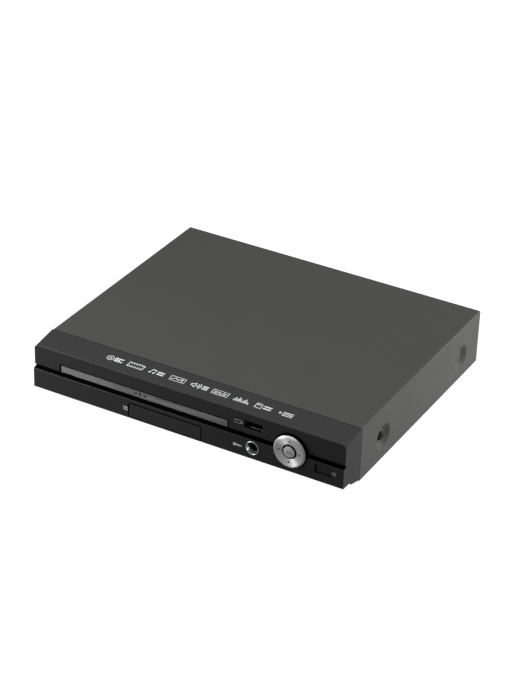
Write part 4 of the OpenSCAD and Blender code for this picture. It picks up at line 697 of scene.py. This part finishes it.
def sensor_sign(size):
    """A small square with rounded waves, beside the window for the remote's sensor."""
    waves = [bar_along(arc(-size * 0.3, 0, size * r, -38, 38, 8), size * 0.1) for r in (0.22, 0.42, 0.62)]
    return [box_line(0, 0, size, size * 0.84, size * 0.1)] + waves


def moved(shapes, x, y):
    """The shapes, carried across and up."""
    return [(points + np.array([x, y, 0]), faces) for points, faces in shapes]


def bars(x, width, heights, thick):
    """Filled bars one above the other, that start at x."""
    return [block_mark(x + width / 2, y, width, thick) for y in heights]


# the row's pictures, about h high, drawn with lines of the given width


def disc_mark(h, line):
    rings = [ring(0, 0, h * 0.46, line * 1.2), ring(0, 0, h * 0.16, line * 1.2)]
    words = bars(-h * 0.1, h * 1.25, (h * 0.3, -h * 0.3), h * 0.2) + bars(-h * 0.1, h * 0.8, (0,), h * 0.2)
    return moved(rings, -h * 0.72, 0) + words


def film_mark(h, line):
    holes = [block_mark(x * h, y * h, h * 0.16, h * 0.14)
             for x in (-0.8, -0.4, 0, 0.4, 0.8) for y in (-0.26, 0.26)]
    return [box_line(0, 0, h * 2.2, h * 0.9, line * 1.2)] + holes


def note_mark(h, line):
    heads = [plate(arc(x * h, -0.3 * h, 0.15 * h, 0, 345, 16)) for x in (-0.3, 0.26)]
    stems = [bar_along([((x + 0.12) * h, -0.3 * h), ((x + 0.12) * h, 0.36 * h)], line) for x in (-0.3, 0.26)]
    notes = heads + stems + [bar_along([(-0.2 * h, 0.36 * h), (0.4 * h, 0.36 * h)], line * 2)]
    return moved(notes, -h * 0.6, 0) + bars(h * 0.1, h * 0.95, (h * 0.2, -h * 0.25), h * 0.26)


def picture_mark(h, line):
    hills = [(-0.8 * h, -0.25 * h), (-0.3 * h, 0.18 * h), (0.05 * h, -0.12 * h), (0.35 * h, 0.08 * h),
             (0.8 * h, -0.25 * h)]
    sun = spot(0.6 * h, 0.2 * h, 0.13 * h)
    return [box_line(0, 0, h * 2.1, h * 0.9, line), bar_along(hills, line * 1.4), sun]


def speaker_mark(h, line):
    cone = [(-0.62, -0.18), (-0.4, -0.18), (-0.1, -0.44), (-0.1, 0.44), (-0.4, 0.18), (-0.62, 0.18)]
    waves = [bar_along(arc(-0.1 * h, 0, r * h, -42, 42, 12), line * 1.3) for r in (0.32, 0.56, 0.8)]
    pair = [bar_along(np.array(cone) * h, line * 1.3, True)] + waves
    return moved(pair, -h * 0.45, 0) + bars(h * 0.5, h * 0.8, (h * 0.3, 0, -h * 0.3), h * 0.17)


def level_mark(h, line):
    heights = (0.4, 0.75, 0.55, 0.95, 0.65, 0.35, 0.6, 0.85, 0.5, 0.3)
    return [block_mark((k - 4.5) * 0.22 * h, (v - 0.95) * h / 2, 0.13 * h, v * h)
            for k, v in enumerate(heights)]


def card_mark(h, line):
    pins = [block_mark((k - 1) * 0.19 * h - 0.06 * h, 0.2 * h, 0.1 * h, 0.28 * h) for k in range(3)]
    card = [box_line(0, 0, h * 0.84, h * 0.94, line * 1.2, 0.22 * h)] + pins
    return moved(card, -h * 0.66, 0) + bars(0, h * 1.1, (h * 0.22, -h * 0.24), h * 0.24)


def caption_mark(h, line):
    places = ((-0.85, 1.05, 0.08), (0.35, 0.5, 0.08), (-0.85, 0.5, -0.2), (-0.2, 1.05, -0.2))
    words = [block_mark((x + wide / 2) * h, y * h, wide * h, line * 1.5) for x, wide, y in places]
    return [box_line(0, 0, h * 2.2, h * 0.9, line)] + words


def list_mark(h, line):
    return bars(-0.4 * h, 1.4 * h, (-0.32 * h, 0, 0.32 * h), line * 1.8) + [wedge(-0.75 * h, 0, 0.28 * h, 0)]


def printed(name, shapes, spread, material, body):
    """Lays flat shapes on a surface: spread turns their across, up and level into places."""
    points, faces, start = [], [], 0
    for shape_points, shape_faces in shapes:
        points.append(shape_points)
        faces += [[i + start for i in face] for face in shape_faces]
        start += len(shape_points)
    places = spread(*np.vstack(points).T)
    mesh = bpy.data.meshes.new(name)
    mesh.from_pydata(places.tolist(), [], faces)
    mesh.materials.append(material)
    outward(mesh)
    piece = bpy.data.objects.new(name, mesh)
    bpy.context.scene.collection.objects.link(piece)
    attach(piece, body)


def outward(mesh):
    """Turns every face of a closed mesh outwards."""
    work = bmesh.new()
    work.from_mesh(mesh)
    bmesh.ops.recalc_face_normals(work, faces=work.faces)
    work.to_mesh(mesh)
    work.free()


def on_face(x, face, z):
    """A spread on an upright face: across is x and up is z, from the given place."""
    return lambda a, b, level: np.column_stack([x + a, face - print_rise * level, z + b])


def print_front_signs(ink, dim_ink):
    """Signs beside the power button, the display window and the jack, and a greyer one beside the port."""
    lower_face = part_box("front_bezel")[0].y
    upper_face = lower_face + upper_set
    window_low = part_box("display_window")[0]
    button, port, jack = (middle(node) for node in ("power_button", "usb_shell", "mic_jack_sleeve"))
    button_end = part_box("power_button")[1].x
    port_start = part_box("usb_shell")[0].x
    jack_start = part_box("mic_jack_sleeve")[0].x
    for name, shapes, x, face, z, colour in (
            ("power_mark", power_sign(2.2 * mm), button_end + 0.9 * mm, lower_face, button.z, ink),
            ("sensor_mark", sensor_sign(2.8 * mm), window_low.x - 0.9 * mm, lower_face, window_low.z + 5 * mm,
             ink),
            ("memory_mark", plug_sign(5.8 * mm), port_start - 3.8 * mm, upper_face, port.z, dim_ink),
            ("microphone_mark", microphone_sign(6.4 * mm), jack_start - 5.6 * mm, lower_face,
             jack.z - 0.9 * mm, ink)):
        printed(name, shapes, on_face(x, face, z), colour, "chassis")


def print_dial_signs(engraved):
    """Dark signs at the four sides of the dial, which is dished, and on the play button, which is domed."""
    dial_x, dial_z = middle("dial_ring").x, middle("play_button").z
    dial_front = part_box("dial_ring")[0].y
    play_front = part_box("play_button")[0].y
    dish_edge = 9.6 * mm
    dish_radius = 47 * mm
    dome_radius = 14 * mm
    signs_radius = 7.2 * mm
    size = 2.5 * mm

    def on_dish(x, z):
        """Depth grows as the square of the way in from the dish's edge."""
        def spread(a, b, level):
            px, pz = x + a, z + b
            reach = np.hypot(px - dial_x, pz - dial_z)
            depth = (dish_edge ** 2 - reach ** 2) / (2 * dish_radius)
            return np.column_stack([px, dial_front + depth - print_rise * level, pz])
        return spread

    def on_dome(a, b, level):
        depth = dome_radius - np.sqrt(dome_radius ** 2 - a ** 2 - b ** 2)
        return np.column_stack([dial_x + a, play_front + depth - print_rise * level, dial_z + b])

    for name, shapes, angle in (
            ("next_mark", skip_sign(size, 1), 0), ("eject_mark", eject_sign(size), 90),
            ("previous_mark", skip_sign(size, -1), 180), ("stop_mark", stop_sign(size), 270)):
        turn = math.radians(angle)
        place = (dial_x + signs_radius * math.cos(turn), dial_z + signs_radius * math.sin(turn))
        printed(name, shapes, on_dish(*place), engraved, "dial")
    printed("play_mark", play_pause_sign(2.6 * mm), on_dome, engraved, "play_button")


def print_lip_sign():
    """A dark eject sign between two dashes, a little left of the lip's middle."""
    dark_ink = surface("print_dark", (0.012, 0.012, 0.012), 0.6, fine_grain, 0.3, 2, 0.1,
                       specular_ior_level=0.2)
    lip = middle("tray_lip")
    dashes = [block_mark(side * 3.6 * mm, 0, 2.6 * mm, 0.9 * mm) for side in (-1, 1)]
    place = on_face(lip.x - 2 * mm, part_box("tray_lip")[0].y, lip.z)
    printed("tray_mark", eject_sign(3.6 * mm) + dashes, place, dark_ink, "tray")


def print_feature_row(ink):
    """A row of nine pictures on the panel's top, which falls from the seam to the front."""
    row = (disc_mark, film_mark, note_mark, picture_mark, speaker_mark, caption_mark, level_mark, card_mark,
           list_mark)
    start, end = -58 * mm, 65 * mm
    row_y = seam_place.y - 9.8 * mm
    height = 5 * mm
    line = 0.42 * mm
    top_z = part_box("front_bezel")[1].z

    def on_top(x):
        def spread(a, b, level):
            y = row_y + b
            return np.column_stack([x + a, y, top_z + (y - seam_place.y) * top_fall + print_rise * level])
        return spread

    for k, make in enumerate(row):
        x = start + (end - start) * k / (len(row) - 1)
        printed(make.__name__, make(height, line), on_top(x), ink, "chassis")


def print_marks():
    ink = surface("print_white", (0.62, 0.63, 0.64), 0.5, fine_grain, 0.3, 2, 0.1)
    dim_ink = surface("print_grey", (0.42, 0.425, 0.43), 0.5, fine_grain, 0.3, 2, 0.1)
    engraved = surface("dial_mark", (0.07, 0.07, 0.07), 0.45, fine_grain, 0.3, 2, 0.1)
    print_front_signs(ink, dim_ink)
    print_dial_signs(engraved)
    print_lip_sign()
    print_feature_row(ink)


def pad_finger_rests():
    """A thin soft pad just over the floor of each finger rest at the tray's front corners. Its edge is
    let into the rest's wall, and it clears the drive gear, which reaches up to that floor."""
    soft = surface("pad_rubber", (0.022, 0.022, 0.023), 0.6, fine_grain, 0.4, 20, 0.15)
    low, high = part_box("disc_tray")
    rest_away, rest_back = 47 * mm, 17 * mm
    pad_radius = 9.05 * mm
    pad_thick = 0.5 * mm
    pad_low = high.z - 3.1 * mm
    tray_x, pad_y = (low.x + high.x) / 2, low.y + rest_back
    pads = [spot(tray_x + side * rest_away, pad_y, pad_radius, 48) for side in (-1, 1)]

    def on_floor(x, y, level):
        return np.column_stack([x, y, pad_low + pad_thick * level])

    printed("finger_pads", pads, on_floor, soft, "tray")


stand_camera()
light_studio()
lay_floor()
paint_case()
paint_dial()
paint_controls()
paint_tray()
paint_loader()
paint_boards()
paint_jack_inserts()
print_marks()
pad_finger_rests()

bpy.context.scene.view_settings.view_transform = "Standard"
